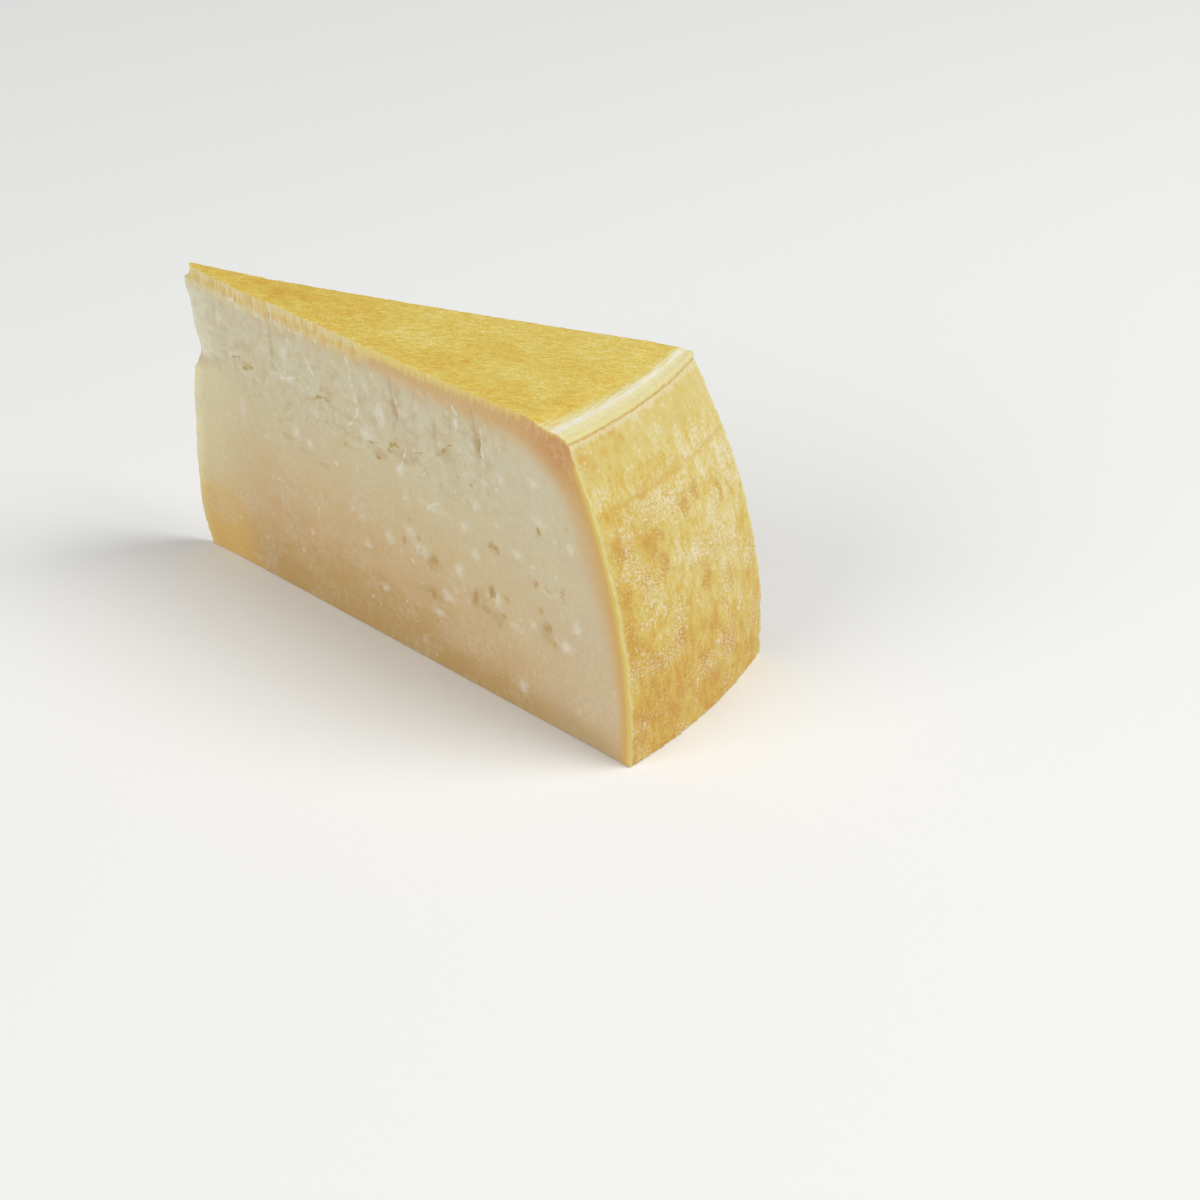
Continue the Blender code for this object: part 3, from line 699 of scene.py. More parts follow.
# Shades of the two rinds as places on their colour ramps. A change goes with the mm over which it comes in
shadeForm = {
    "top": 0.53, "topChanges": ((0.04, (20, 130)), (0.03, (130, 170))),
    "cloudStrength": 0.3,
    "nearEdge": (0.06, 4, 3.5, (60, 95)),     # change, middle and half width of a stripe, where it starts
    # the heel gets more gold and darker towards its foot, partly its own gold and partly a painted shadow
    "heel": 0.66, "heelNear": (0.1, (-34, 4)), "heelFootGoldAndShadow": (0.27, (8, 72)), "heelFar": (0.02, (4, 30)),
    "speckled": 0.75, "speckledFoot": (0.85, (15, 50)), "speckledEnd": (84, 98),
}


# Place of the flat rind's colour on its ramp, lower where it is more orange
def topRindShade(x, y, fromNearEdge):
    mottling = 1.0 + layRindNoise("mottling", x, y)
    shade = shadeForm["top"]
    for change, zone in shadeForm["topChanges"]:
        shade = shade + change * smoothStep(*zone, x)
    for centreX, centreY, halfLength, halfWidth, strength in rindClouds:
        away = ((x - centreX) / halfLength) ** 2 + ((y - centreY) / halfWidth) ** 2
        shade = shade - shadeForm["cloudStrength"] * strength * mottling * np.exp(-away)
    change, middle, halfWidth, zone = shadeForm["nearEdge"]
    return shade - change * np.exp(-((fromNearEdge - middle) / halfWidth) ** 2) * smoothStep(*zone, x)


# Marks of the heel's rind, in mm across and mm up: gold patches where the bloom is rubbed off, and bloom
heelMarks = {
    "gold": (
        (-33, 104, 5, 5), (-23.8, 104.4, 3, 5), (-16.5, 105.1, 3, 4.5), (-13, 90, 6, 3),
        (6.5, 89, 5, 2.6), (-31, 75, 6, 6.5), (-18, 72, 7, 8), (-14, 64, 5, 5),
        (-34, 61, 5, 7), (-22, 62, 6, 4.5), (2, 76, 4, 7), (9.5, 79, 3, 5),
        (5, 51, 4, 8), (-12, 37, 6, 7), (-36, 45, 4, 14), (-19, 12, 9, 7),
        (4, 13, 7, 6), (-28, 26, 6, 8), (6, 33, 4, 6), (24, 72, 3, 6),
        (20, 44, 3, 6), (-2, 24, 6, 5)),
    "bloom": (
        (3.3, 83.2, 4.1, 4.1), (-27.7, 81, 3.5, 3.5), (-18.6, 87, 4.1, 3), (-32.4, 92.3, 3.5, 4.3),
        (-31.5, 67.5, 3.2, 3.5), (-26, 58.1, 3.2, 3.5), (-23.7, 54.1, 3, 3.5), (1.9, 60.8, 3, 4.9),
        (25.5, 56.7, 2.7, 4.9), (-9, 84.3, 4.1, 3.5), (-3.5, 81.3, 3, 3.2), (27.7, 81.7, 3, 5.9),
        (-26.6, 48.7, 1.9, 3.2), (-18.3, 49.1, 2, 3.5), (-14, 44, 1.8, 3), (-31.6, 40.6, 1.6, 3),
        (8, 25.3, 2.2, 4.6), (13.8, 34.5, 2.4, 4.9), (-33.6, 13.4, 1.9, 4.1), (23.7, 30, 2.4, 5.4),
        (16, 66, 2.4, 8.1), (20, 92, 4.1, 5.4), (31, 46, 2.2, 6.8), (-6.8, 14, 1.2, 12.2)),
}


# Place of the heel's colour on its ramp: more gold towards the near cut, more gold and darker towards the foot,
# which is partly the rind's own gold and partly a painted shadow, and creamier away from them
def heelRindShade(y, level):
    near, nearZone = shadeForm["heelNear"]
    foot, footZone = shadeForm["heelFootGoldAndShadow"]
    far, farZone = shadeForm["heelFar"]
    shade = shadeForm["heel"] - near * (1.0 - smoothStep(*nearZone, y))
    # the foot's term darkens the heel's lower part: partly its own gold, partly a painted shadow
    return shade - foot * (1.0 - smoothStep(*footZone, level)) + far * smoothStep(*farZone, y)


# Where specks show between the pebbles, 0 to 1: below the smooth band under the groove, in uneven patches
def heelSpeckle(y, level):
    share, zone = shadeForm["speckledFoot"]
    patches = shadeForm["speckled"] + layRindNoise("speckles", y, level)
    patches = patches * (share + (1.0 - share) * smoothStep(*zone, level))
    return np.clip(patches * (1.0 - smoothStep(*shadeForm["speckledEnd"], level)), 0.0, 1.0)


# Noises of the thin end and the rinds: size in mm, seed, and height in mm or strength
rindNoises = {
    "tip": ((2.2,), 50, 0.35),               # the broken end's outline
    "endSway": ((14,), 3, 0.8),
    "endShake": ((3.5,), 8, 0.3),
    "lump": ((11, 11), 19, 0.35),
    "pebble": ((2.4, 2.8), 23, 0.42),        # print of the mould's holes
    "finePebble": ((1.5, 1.7), 27, 0.2),
    "rib": ((2.8, 20), 29, 0.16),            # upright ribs between them
    "line": ((6,), 33, 0.6),
    "weave": ((7, 1.6), 37, 0.08),           # print of the cloth
    "brushed": ((12, 9), 41, 0.08),
    "pores": ((1.8, 1.8), 43, 0.06),
    "notch": ((1.8, 1.8), 47, 1.2),          # nicks along the top rind's edges
    "drift": ((4, 5), 63, 1),
    "sag": ((4, 5), 65, 1),
    "lineWander": ((9,), 67, 0.8),
    "pale": ((9, 12), 69, 0.5),
    "mottling": ((6, 4), 61, 1.2),
    "speckles": ((10, 13), 71, 0.9),
}

# Fixed values of the thin end and the rinds, in mm
rindForm = {
    "endSwayRun": 10, "endShakeRun": 4,       # how far from the end the noises of that name fade
    "heelSunk": 0.25,
    "lineDepth": 0.16, "lineHalfWidth": 0.8, "lineMean": 0.6,
    "belowLip": (0, 6),                       # below the rim, where the lip's smooth face ends
    "lipPebbled": 0.25,                       # share of the pebbles that the lip keeps
    "lumpPower": 12, "pebblePower": 40,       # how fast relief of the heel dies out along the cuts
    "notchDepth": 0.22, "notchReach": 0.9, "notchMean": 0.5, "notchRun": (0, 8),
    "gone": 8,                                # takes a mask off the parts that it leaves out
    "fringeEnd": (84, 104),                   # along: the dragged rind's fringe ends
    "stripStart": (70, 90),                   # along: the bare strip of rind starts
    "stripThins": ((0.6, (110, 150)), (1.8, (160, 177))),
    # the painted highlight along the cut's top edge thins towards the heel
    "edgeHighlightThins": (1.2, (160, 177)),
    "fringeMiddle": 7, "strokeMiddle": 4.2, "strokeHalfHeight": 1.8,
    "tipPart": 40, "tipUpper": (74, 84), "tipLower": (74, 82), "tipFootRun": (8, 45), "tipFootUp": (10, 46),
    "goldDrift": 4, "bloomDrift": 3, "goldEnd": (80, 94), "paleMean": 0.6,
    "underGroove": ((94, 101), (107, 109.5)),
    "besideTop": (6, (2, 10)),
    "farCutPlace": 300,                       # moves the far cut to another part of the patterns
}


def layRindNoise(name, *places):
    size, seed, height = rindNoises[name]
    return height * noiseAt(size, seed, *places)


# Moves the block's points into the wedge. Returns the places in mm, the masks and the pattern places
def wedgePlaces(shares):
    alongShare, acrossShare, upShare = shares.T
    side = 2.0 * acrossShare - 1.0
    slope = side * halfSlope
    rimX = alongToSide(slope, sideRadius(wedgeForm["height"]))
    level = heightAt(upShare, rimX, rimX * slope)
    rimX = alongToSide(slope, sideRadius(level, acrossShare))
    outline = np.array(wedgeForm["edgeOutline"])
    tipX = np.interp(level, outline[:, 0], outline[:, 1]) + layRindNoise("tip", level)
    tipX = np.maximum(tipX, wedgeForm["edgeInset"] - wedgeForm["edgeReach"])
    run = alongShare * (rimX - tipX)
    x = tipX + run

    opening = np.hypot(np.maximum(x, 0.0) * halfSlope, wedgeForm["edgeHalfWidth"])
    nose = np.sqrt(1.0 - np.exp(-run / wedgeForm["edgeRounding"]))
    y = side * opening * nose

    along = x / cutCosine
    nearRelief, nearMasks = cutRelief(nearMarks, along, level)
    farRelief, farMasks = cutRelief(farMarks, along, level)
    shift = farRelief * acrossShare - nearRelief * (1.0 - acrossShare)
    y = y + shift * (1.0 - np.exp(-run / (2.0 * wedgeForm["edgeRounding"])))
    y = y + layRindNoise("endSway", level) * np.exp(-run / rindForm["endSwayRun"])
    y = y + layRindNoise("endShake", level) * np.exp(-run / rindForm["endShakeRun"])

    # The heel's rind: slow lumps, the pebbles of the mould's holes, and upright ribs between them
    lump, rib = layRindNoise("lump", y, level), layRindNoise("rib", y, level)
    pebble = layRindNoise("pebble", y, level) + layRindNoise("finePebble", y, level)
    fromLine = (level - wedgeForm["secondLine"]) / rindForm["lineHalfWidth"]
    line = -rindForm["lineDepth"] * np.exp(-fromLine ** 2) * (rindForm["lineMean"] + layRindNoise("line", y))
    belowLip = smoothStep(*rindForm["belowLip"], wedgeForm["height"] - level)
    lipShare = rindForm["lipPebbled"] + (1.0 - rindForm["lipPebbled"]) * belowLip
    x = x + (lump + line - rindForm["heelSunk"]) * alongShare ** rindForm["lumpPower"] * belowLip
    x = x + (pebble + rib) * alongShare ** rindForm["pebblePower"] * lipShare

    # The flat rind took the weave of a cloth and was brushed
    z = heightAt(upShare, x, y)
    onTop = (upShare == 1.0) * 1.0
    threadX, threadY = turned(x, y, topRindLook["fibreTurn"])
    z = z + onTop * (layRindNoise("weave", threadX, threadY) + layRindNoise("brushed", x, y))
    z = z + onTop * layRindNoise("pores", x, y)
    fromEdge = opening * (1.0 - np.abs(side))
    notch = np.clip(rindForm["notchMean"] + layRindNoise("notch", x, y), 0.0, rindNoises["notch"][2])
    notch = onTop * rindForm["notchDepth"] * notch * np.exp(-fromEdge / rindForm["notchReach"])
    z = z - notch * smoothStep(*rindForm["notchRun"], run)

    isFar = acrossShare > 0.5
    above = topHeight(rimX * alongShare, rimX * alongShare * slope) - level
    beside = rimX - x
    fringeEnd = rindForm["gone"] * smoothStep(*rindForm["fringeEnd"], along)
    stripStart = rindForm["gone"] * (1.0 - smoothStep(*rindForm["stripStart"], along))
    for thinning, zone in rindForm["stripThins"]:
        stripStart = stripStart + thinning * smoothStep(*zone, along)
    edgeThinning, edgeZone = rindForm["edgeHighlightThins"]
    besideGone, besideZone = rindForm["besideTop"]
    grooveLow, grooveHigh = rindForm["underGroove"]
    drift, sag = layRindNoise("drift", y, level), layRindNoise("sag", y, level)
    goldDrift, bloomDrift = rindForm["goldDrift"], rindForm["bloomDrift"]
    heelGold = softOvals(heelMarks["gold"], y + goldDrift * drift, level + goldDrift * sag, drift)
    band, bandOrange = rindBand(along, level, beside, above)
    rimReach = wedgeForm["paleRimAndHighlight"][0] + (wedgeForm["paleRimAndHighlight"][1] - wedgeForm["paleRimAndHighlight"][0]) * acrossShare
    masks = {name: np.where(isFar, farMasks[name], nearMasks[name]) for name in nearMasks}
    masks.update({
        # tan of the paste, with painted shade and warm bounce light towards the foot
        "warmth": pasteTanAndShade(along, level),
        "band": band,
        "bandOrange": bandOrange,
        "rindInside": -np.minimum(beside, above),
        "besideInside": -beside - besideGone * (1.0 - smoothStep(*besideZone, above)),
        "edgeInside": -above - edgeThinning * smoothStep(*edgeZone, along),
        # near the cut's top edge, for a painted highlight where the sharp edge would catch the light
        "fringeInside": -above - fringeEnd,
        "fringeFoot": -np.abs(above - rindForm["fringeMiddle"]) - fringeEnd,
        "strokeInside": rindForm["strokeHalfHeight"] - np.abs(above - rindForm["strokeMiddle"]) - fringeEnd,
        "stripInside": -above - stripStart,
        "tipUpper": -run - rindForm["tipPart"] * (1.0 - smoothStep(*rindForm["tipUpper"], level)),
        "tipLower": -run - rindForm["tipPart"] * smoothStep(*rindForm["tipLower"], level),
        "tipFoot": (1.0 - smoothStep(*rindForm["tipFootRun"], run))
                   * (1.0 - smoothStep(*rindForm["tipFootUp"], level)),
        "cornerInside": -fromEdge,
        # inside the rim, for its pale band and the painted highlight on its rounding
        "rimInside": -insideRim(x, y) / rimReach,
        "topShade": topRindShade(x, y, opening * (1.0 + side)),
        "heelShade": heelRindShade(y, level),
        "heelGold": heelGold,
        "goldSpeckled": heelGold * (1.0 - smoothStep(*rindForm["goldEnd"], level)),
        "heelBloom": softOvals(heelMarks["bloom"], y + bloomDrift * sag, level - bloomDrift * drift, sag),
        "heelPale": rindForm["paleMean"] + layRindNoise("pale", y, level),
        "heelSpeckled": heelSpeckle(y, level),
        "underGroove": smoothStep(*grooveLow, level) * (1.0 - smoothStep(*grooveHigh, level)),
        "lineInside": -np.abs(level - wedgeForm["secondLine"] - layRindNoise("lineWander", y)),
        "lipInside": level - wedgeForm["grooveHeight"],
        "grooveInside": -np.abs(level - wedgeForm["grooveHeight"]),
    })
    places = {
        "cutPlace": np.stack([along, level, isFar * rindForm["farCutPlace"]], axis=1),
        "heelPlace": np.stack([y, level, np.zeros_like(y)], axis=1),
        "rimPlace": np.stack([y, insideRim(x, y), np.zeros_like(y)], axis=1),
    }
    return np.stack([x, y, z], axis=1), masks, places


def buildWedge():
    cellsAlong, cellsAcross, cellsUp = wedgeForm["cells"]
    levelsAlong = np.linspace(0.0, 1.0, cellsAlong + 1) ** wedgeForm["crowding"]
    levelsAcross = np.linspace(0.0, 1.0, cellsAcross + 1)
    evenLevels = np.linspace(0.0, wedgeForm["evenShare"], cellsUp + 1)
    fineLevels = np.linspace(wedgeForm["evenShare"], 1.0, wedgeForm["fineLevels"] + 1)[1:]
    shares, faces, faceSides = blockGrid(levelsAlong, levelsAcross, np.concatenate([evenLevels, fineLevels]))
    places, masks, vectors = wedgePlaces(shares)

    # From the line where the cuts meet to the frame's origin
    originX = wedgeLow.x / mm + wedgeForm["edgeReach"]
    originY = (wedgeLow.y + wedgeHigh.y) / 2 / mm - wedgeForm["farExcess"]
    places = places + np.array([originX, originY, 0.0])
    places = np.clip(places, np.array(wedgeLow) / mm, np.array(wedgeHigh) / mm)

    mesh = bpy.data.meshes.new("wedgeMesh")
    mesh.from_pydata((places * mm).tolist(), [], faces)
    materialOf = {"near": 0, "far": 0, "top": 1, "heel": 2, "foot": 3}
    mesh.polygons.foreach_set("material_index", [materialOf[side] for side in faceSides])
    for name, values in masks.items():
        mask = mesh.attributes.new(name, "FLOAT", "POINT")
        mask.data.foreach_set("value", values.astype(np.float32))
    for name, values in vectors.items():
        vector = mesh.attributes.new(name, "FLOAT_VECTOR", "POINT")
        vector.data.foreach_set("vector", values.astype(np.float32).ravel())

    # Smooth everywhere but along the edges where two sides meet
    mesh.shade_smooth()
    edgeSides = {}
    for polygon, side in zip(mesh.polygons, faceSides):
        for edgeKey in polygon.edge_keys:
            edgeSides.setdefault(edgeKey, set()).add(side)
    sharp = [len(edgeSides[tuple(sorted(edge.vertices))]) > 1 for edge in mesh.edges]
    mesh.attributes.new("sharp_edge", "BOOLEAN", "EDGE").data.foreach_set("value", sharp)
    mesh.update()

    return addObject("parmesanWedge", mesh)


# Hard aged cheese, cut by wire below and broken open above. Fat and milk protein give it a soft, waxy, pale
# straw look, matt, with a fine grain, pale flecks where it tore and a tan band of drier paste by the rind
pasteLook = {
    # the ramp's darker, warmer end, reached towards the foot, is partly painted shade and warm bounce light
    "ramp": ((0, "#d6ceb0"), (0.25, "#d6c9a4"), (0.5, "#d6c095"), (0.75, "#d4b486"), (1, "#c7a46b")),
    # patterns: size in mm, detail, roughness, and how much they move the colour along the ramp
    "patterns": {
        "cloud": ((22, 22, 22), 3, 0.5, 0.35),     # slow clouds of colour
        "mottle": ((5, 5, 5), 4, 0.6, 0.4),        # the pressed curd
        "grain": ((0.9, 0.9, 0.9), 3, 0.6, 0.32),        # grains of the curd
        "edge": ((1.3, 1.3, 1.3), 2, 0.5, 0),          # unevenness of the edges of cracks and cavities
        "threads": ((1.6, 6.5, 3), 4, 0.6, 0),       # threads that the knife pulled down from the top rind
        "flakes": ((2.6, 4.2, 3), 4, 0.65, 0),       # flakes of the torn upper part
        "curds": ((2.4, 2.8, 2.4), 5, 0.7, 0),         # curds that show paler or darker than the rest
        "strokes": ((1.2, 4.6, 2), 3, 0.6, 0),       # short strokes of rind that the knife drew down
    },
    # soft pale flecks in one cell of five, spaced in mm, with ragged outlines
    "flecks": {
        "spacing": 5.2, "moved": {"outline": ("edge", 0.4)}, "kept": (0.76, 0.84), "outline": (0.46, 0.25),
        "colour": "#ebe6d6", "strength": 0.5},
    # mask, pattern, reach, low, high, colour, strength
    "layers": (
        ("rosy", "mottle", 0.8, 0.1, 0.9, "#d2c1a6", 0.6),
        ("rosy", "mottle", 0.8, -0.1, -0.8, "#d3cfab", 0.45),
        ("tipUpper", "mottle", 6, -16, -1, "#e6e6cd", 0.75),
        ("tipLower", "mottle", 8, -30, -4, "#e1d7ab", 0.75),
        ("tipLower", "edge", 2.5, -7, -0.3, "#eceacb", 0.75),
        ("tipFoot", "mottle", 0.4, 0, 1, "#e2b866", 0.85),
        ("tipLower", "edge", 2.5, -5, -0.5, "#ecdd9c", 0.35),
        ("curd", "curds", 2.6, 0.6, 1.5, "#e6dfc6", 0.3),
        ("curd", "grain", 2.6, 0.8, 1.6, "#bda67c", 0.25),
        # painted soft shade of the crumbled relief, in darker patches
        ("broken", "mottle", 1.8, 0.85, 1.4, "#bda87a", 0.35),
        ("broken", "flakes", 1.8, 1.05, 1.4, "#ebe6d6", 0.5),
        ("band", "curds", 0.7, 0, 1, "#d8b176", 1),
        ("bandOrange", "mottle", 0.4, 0, 1, "#d29c63", 0.95),
        ("band", "grain", 2.4, 0.7, 1.4, "#bc9058", 0.4),
        ("band", "curds", 2.2, 0.8, 1.4, "#ead8b6", 0.3),
        ("stain", "mottle", 0.9, 0.15, 1, "#c0a87c", 0.5),
        ("stain", "flakes", 2.2, 0.8, 1.4, "#b99b66", 0.35),
        ("stain", "curds", 2.2, 0.8, 1.4, "#e6dcc0", 0.45),
        # painted shade in the furrows
        ("furrow", "threads", 0.8, 0.05, 0.9, "#bd9f74", 0.6),
        ("paleInside", "edge", 3.6, -1.7, 1.7, "#ebe6d6", 0.55),
        # cavities: their own tan, darkened further towards the depth by painted shade
        ("pitInside", "edge", 3.6, -0.7, 0.9, "#cdae78", 0.75),
        ("pitDeep", "edge", 4, -0.1, 1, "#bc985c", 0.6),
        ("besideInside", "mottle", 2, -6, -1.6, "#dab064", 0.8),
        ("besideInside", "edge", 0.9, -2.6, -0.9, "#e2cb6a", 0.85),
        ("fringeInside", "threads", 6, -9.5, -3, "#e7d89e", 0.85),
        ("strokeInside", "strokes", 9, -0.2, 2.4, "#dfbd6e", 0.7),
        ("dab", "strokes", 3.4, 0.1, 1.3, "#d9b15c", 0.6),
        ("fringeInside", "edge", 16, -0.6, 1.6, "#f3ecca", 0.55),
        ("fringeFoot", "flakes", 9, 0, 1.2, "#f0ebd9", 0.6),
        ("stripInside", "threads", 5, -4.4, -2.2, "#e8d27c", 0.9),
        ("stripInside", "strokes", 10, -2, 0.2, "#f7efc0", 0.6),
        # a painted highlight: a pale line along the cut's top edge, where the sharp edge would catch the light
        ("edgeInside", "edge", 2.4, -1.2, 0, "#fbf4d6", 0.6),
    ),
    # mm across, nearness, half width in mm, reach, colour, strength
    "lines": (
        # the cracks: partly their own tan and partly painted shade in the narrow crack
        ("crackAcross", "crackNear", 0.9, 1.6, "#bd9f62", 0.85),
        ("scarAcross", "scarNear", 0.8, 0.9, "#ece7d8", 0.6),
    ),
    "surface": {
        "Roughness": 0.5, "IOR": 1.45, "Specular IOR Level": 0.3,
        "Subsurface Weight": 0.15, "Subsurface Radius": (1, 0.6, 0.3), "Subsurface Scale": 3 * mm},
    "bumps": (("mottle", 0.3, 0.6), ("grain", 0.35, 0.2)),
}


def agedCutPaste():
    look = pasteLook
    material, tree, shader = startMaterial("agedCutPaste", look["surface"])
    place = addNode(tree, "ShaderNodeAttribute", {"attribute_name": "cutPlace"}).outputs["Vector"]
    # the mask puts painted shade and warm bounce light towards the foot onto the ramp
    patterns, total = layPatterns(tree, place, "warmth", look["patterns"])
    colour = addNode(tree, "ShaderNodeValToRGB", {"ramp": look["ramp"]}, {0: total}).outputs["Color"]
    colour = scatterGrains(tree, colour, place, patterns, look["flecks"])
    colour = paintLayers(tree, colour, patterns, look["layers"])
    colour = paintLines(tree, colour, patterns["edge"], look["lines"])
    finishMaterial(tree, shader, colour, patterns, look["bumps"])
    return material


# The wheel was halved with a taut wire, which leaves the foot flat, dense and smooth, with faint drag lines
footLook = {
    "ramp": ((0.3, "#c9b07f"), (0.5, "#c0a16c"), (0.7, "#b39058")),
    "cloudSize": 14,          # mm
    "cloudDetail": 5,
    "dragSize": (60, 1.6),    # mm, along and across the wire's drag lines
    "dragDetail": 2,
    "dragShare": 0.3,         # how much the drag lines move the colour along the ramp
    "surface": {"Roughness": 0.45, "IOR": 1.45},
    "bumps": (("drag", 0.3, 0.2),),
}


def wireCutFoot():
    look = footLook
    material, tree, shader = startMaterial("wireCutFoot", look["surface"])
    place = placeInMillimetres(tree)
    cloud = addNode(tree, "ShaderNodeTexNoise",
                    {"Scale": 1 / look["cloudSize"], "Detail": look["cloudDetail"]}, {"Vector": place})
    dragLength, dragWidth = look["dragSize"]
    dragPlace = addNode(tree, "ShaderNodeMapping", {"Scale": (1 / dragWidth, 1 / dragLength, 1.0)},
                        {"Vector": place})
    drag = addNode(tree, "ShaderNodeTexNoise", {"Scale": 1.0, "Detail": look["dragDetail"]},
                   {"Vector": dragPlace})
    share = look["dragShare"]
    centred = addNode(tree, "ShaderNodeMath", {"operation": "MULTIPLY_ADD", 1: share, 2: -share / 2}, {0: drag})
    total = addNode(tree, "ShaderNodeMath", {"operation": "ADD"}, {0: centred, 1: cloud})
    colour = addNode(tree, "ShaderNodeValToRGB", {"ramp": look["ramp"]}, {0: total}).outputs["Color"]
    finishMaterial(tree, shader, colour, {"drag": drag}, look["bumps"])
    return material


# Rind of the flat side: salted in brine, wiped with oil and brushed while it aged. It is dense, golden and
# a little glossy, with the wavy print of the cloth it was pressed in and orange clouds where it is driest
topRindLook = {
    # the ramp's palest end, reached on the thread prints, is partly painted highlight on them
    "ramp": ((0, "#cf963a"), (0.28, "#deb044"), (0.5, "#e5c656"), (0.72, "#edd873"), (1, "#fbf3c6")),
    "fibreTurn": 18,      # degrees from the wedge's middle line
    # patterns: size in mm, detail, roughness, and how much they move the colour along the ramp
    "patterns": {
        "cloud": ((18, 13, 10), 4, 0.6, 0.16),
        "mottle": ((3.4, 2.2, 4), 4, 0.65, 0.3),      # where the brush wore the oil thinner
        # the thread prints' pale tops are partly painted highlight
        "fibres": ((3, 0.55, 4), 3, 0.7, 1.3),  # prints of the cloth's threads, drawn coarser
        "grain": ((0.7, 0.6, 0.7), 2, 0.6, 0.9),
    },
    "streakSize": (9, 0.8, 1),    # mm, along and across the streaks round the rim
    "streakDetail": 4,
    "streakRoughness": 0.6,
    # the rim's pale fall, partly paler rind and partly a painted highlight on its rounding, with its white
    # crease, a painted highlight, and its yellower lip, which narrow towards the far cut. The masks count in
    # widths of the pale band
    "layers": (
        ("rimInside", "streaks", 1.8, -1.55, -0.75, "#efe6a8", 0.8),
        # the white crease: a painted highlight along the rim's rounding
        ("rimInside", "streaks", 1.9, -1.1, -0.45, "#fcf8e8", 0.9),
        ("rimInside", "grain", 0.6, -0.55, -0.3, "#ece1a0", 0.8),
        ("rimInside", "mottle", 3, -0.5, 1, "#dfca76", 0.5),
    ),
    "surface": {
        "Roughness": 0.42, "IOR": 1.46, "Specular IOR Level": 0.4,
        "Subsurface Weight": 0.08, "Subsurface Radius": (1, 0.6, 0.25), "Subsurface Scale": 2 * mm},
    "bumps": (("mottle", 0.5, 0.4), ("fibres", 0.6, 0.4)),
}


def oiledTopRind():
    look = topRindLook
    material, tree, shader = startMaterial("oiledTopRind", look["surface"])
    place = placeInMillimetres(tree)
    patterns, total = layPatterns(tree, place, "topShade", look["patterns"], math.radians(look["fibreTurn"]))
    colour = addNode(tree, "ShaderNodeValToRGB", {"ramp": look["ramp"]}, {0: total}).outputs["Color"]
    rimPlace = addNode(tree, "ShaderNodeAttribute", {"attribute_name": "rimPlace"})
    streakPlace = addNode(tree, "ShaderNodeMapping", {"vector_type": "TEXTURE", "Scale": look["streakSize"]},
                          {"Vector": rimPlace.outputs["Vector"]})
    patterns["streaks"] = addNode(
        tree, "ShaderNodeTexNoise",
        {"Scale": 1.0, "Detail": look["streakDetail"], "Roughness": look["streakRoughness"]},
        {"Vector": streakPlace})
    colour = paintLayers(tree, colour, patterns, look["layers"])
    finishMaterial(tree, shader, colour, patterns, look["bumps"])
    return material


# Rind of the heel: it took the small pebbles of a punched plastic mould band, and aged bare. A whitish bloom
# stays on the pebbles, and gold and brown show in the hollows between them, in upright columns
heelRindLook = {
    "ramp": ((0, "#c6903c"), (0.25, "#d7a748"), (0.5, "#dfc263"), (0.72, "#e6d38b"), (1, "#f2ebd2")),
    # patterns: size in mm, detail, roughness, and how much they move the colour along the ramp
    "patterns": {
        "cloud": ((14, 16, 10), 5, 0.6, 0.8),
        "patches": ((4.5, 6.5, 5), 4, 0.6, 0.8),
        "pebbles": ((1.2, 1.35, 1), 3, 0.65, 0.6),     # the mould band's small round prints
        "columns": ((1.5, 8, 2), 4, 0.6, 0.6),
        "specks": ((0.75, 0.8, 0.8), 2, 0.5, 0),
        "grits": ((0.85, 0.95, 0.9), 2, 0.5, 0),
    },
    # grains of bloom on one pebble in three, spaced in mm, in clusters
    "bloom": {
        "spacing": 1.9, "moved": {"drawn": ("patches", 1.6)}, "kept": (1.55, 1.75), "outline": (0.42, 0.1),
        "colour": "#fbf4e4", "strength": 0.4},
    # the rind just under the groove is pale with gold dabs lower down, the lip over it is yellow, and the
    # groove itself is a thin darker line
    "layers": (
        ("underGroove", "patches", 0.8, 0.2, 1, "#e1cf83", 0.55),
        ("underGroove", "columns", 2.2, 1, 1.5, "#dcb850", 0.6),
        ("heelGold", "patches", 3, 0.3, 1.4, "#dbae46", 0.8),
        ("goldSpeckled", "specks", 2.6, 0.5, 1.3, "#c99342", 0.8),
        ("heelSpeckled", "specks", 2.6, 0.9, 1.5, "#c8964c", 0.6),
        ("heelSpeckled", "grits", 2.6, 0.9, 1.5, "#f7efda", 0.65),
        ("heelBloom", "pebbles", 2.8, 0.5, 1.5, "#f5edda", 0.7),
        ("heelPale", "specks", 2.4, 0.95, 1.6, "#f3ebd4", 0.42),
        ("lineInside", "patches", 3.2, -1.5, 0.4, "#d8ac46", 0.6),
        ("cornerInside", "pebbles", 1.2, -2, -0.6, "#e6d998", 0.7),
        ("grooveInside", "pebbles", 1, -2.8, -0.9, "#ece2bd", 0.5),
        ("lipInside", "pebbles", 0.4, 0, 1, "#e9dd98", 0.8),
        ("lipInside", "columns", 4, 1.2, 2.8, "#f3ebc8", 0.6),
        ("lipInside", "specks", 5, 2, 3.4, "#dfc878", 0.4),
        ("grooveInside", "columns", 1.4, -0.6, 0, "#d2a848", 0.8),
    ),
    "surface": {
        "Roughness": 0.5, "IOR": 1.46, "Specular IOR Level": 0.35,
        "Subsurface Weight": 0.08, "Subsurface Radius": (1, 0.6, 0.25), "Subsurface Scale": 2 * mm},
    "bumps": (("pebbles", 0.6, 0.5),),
}


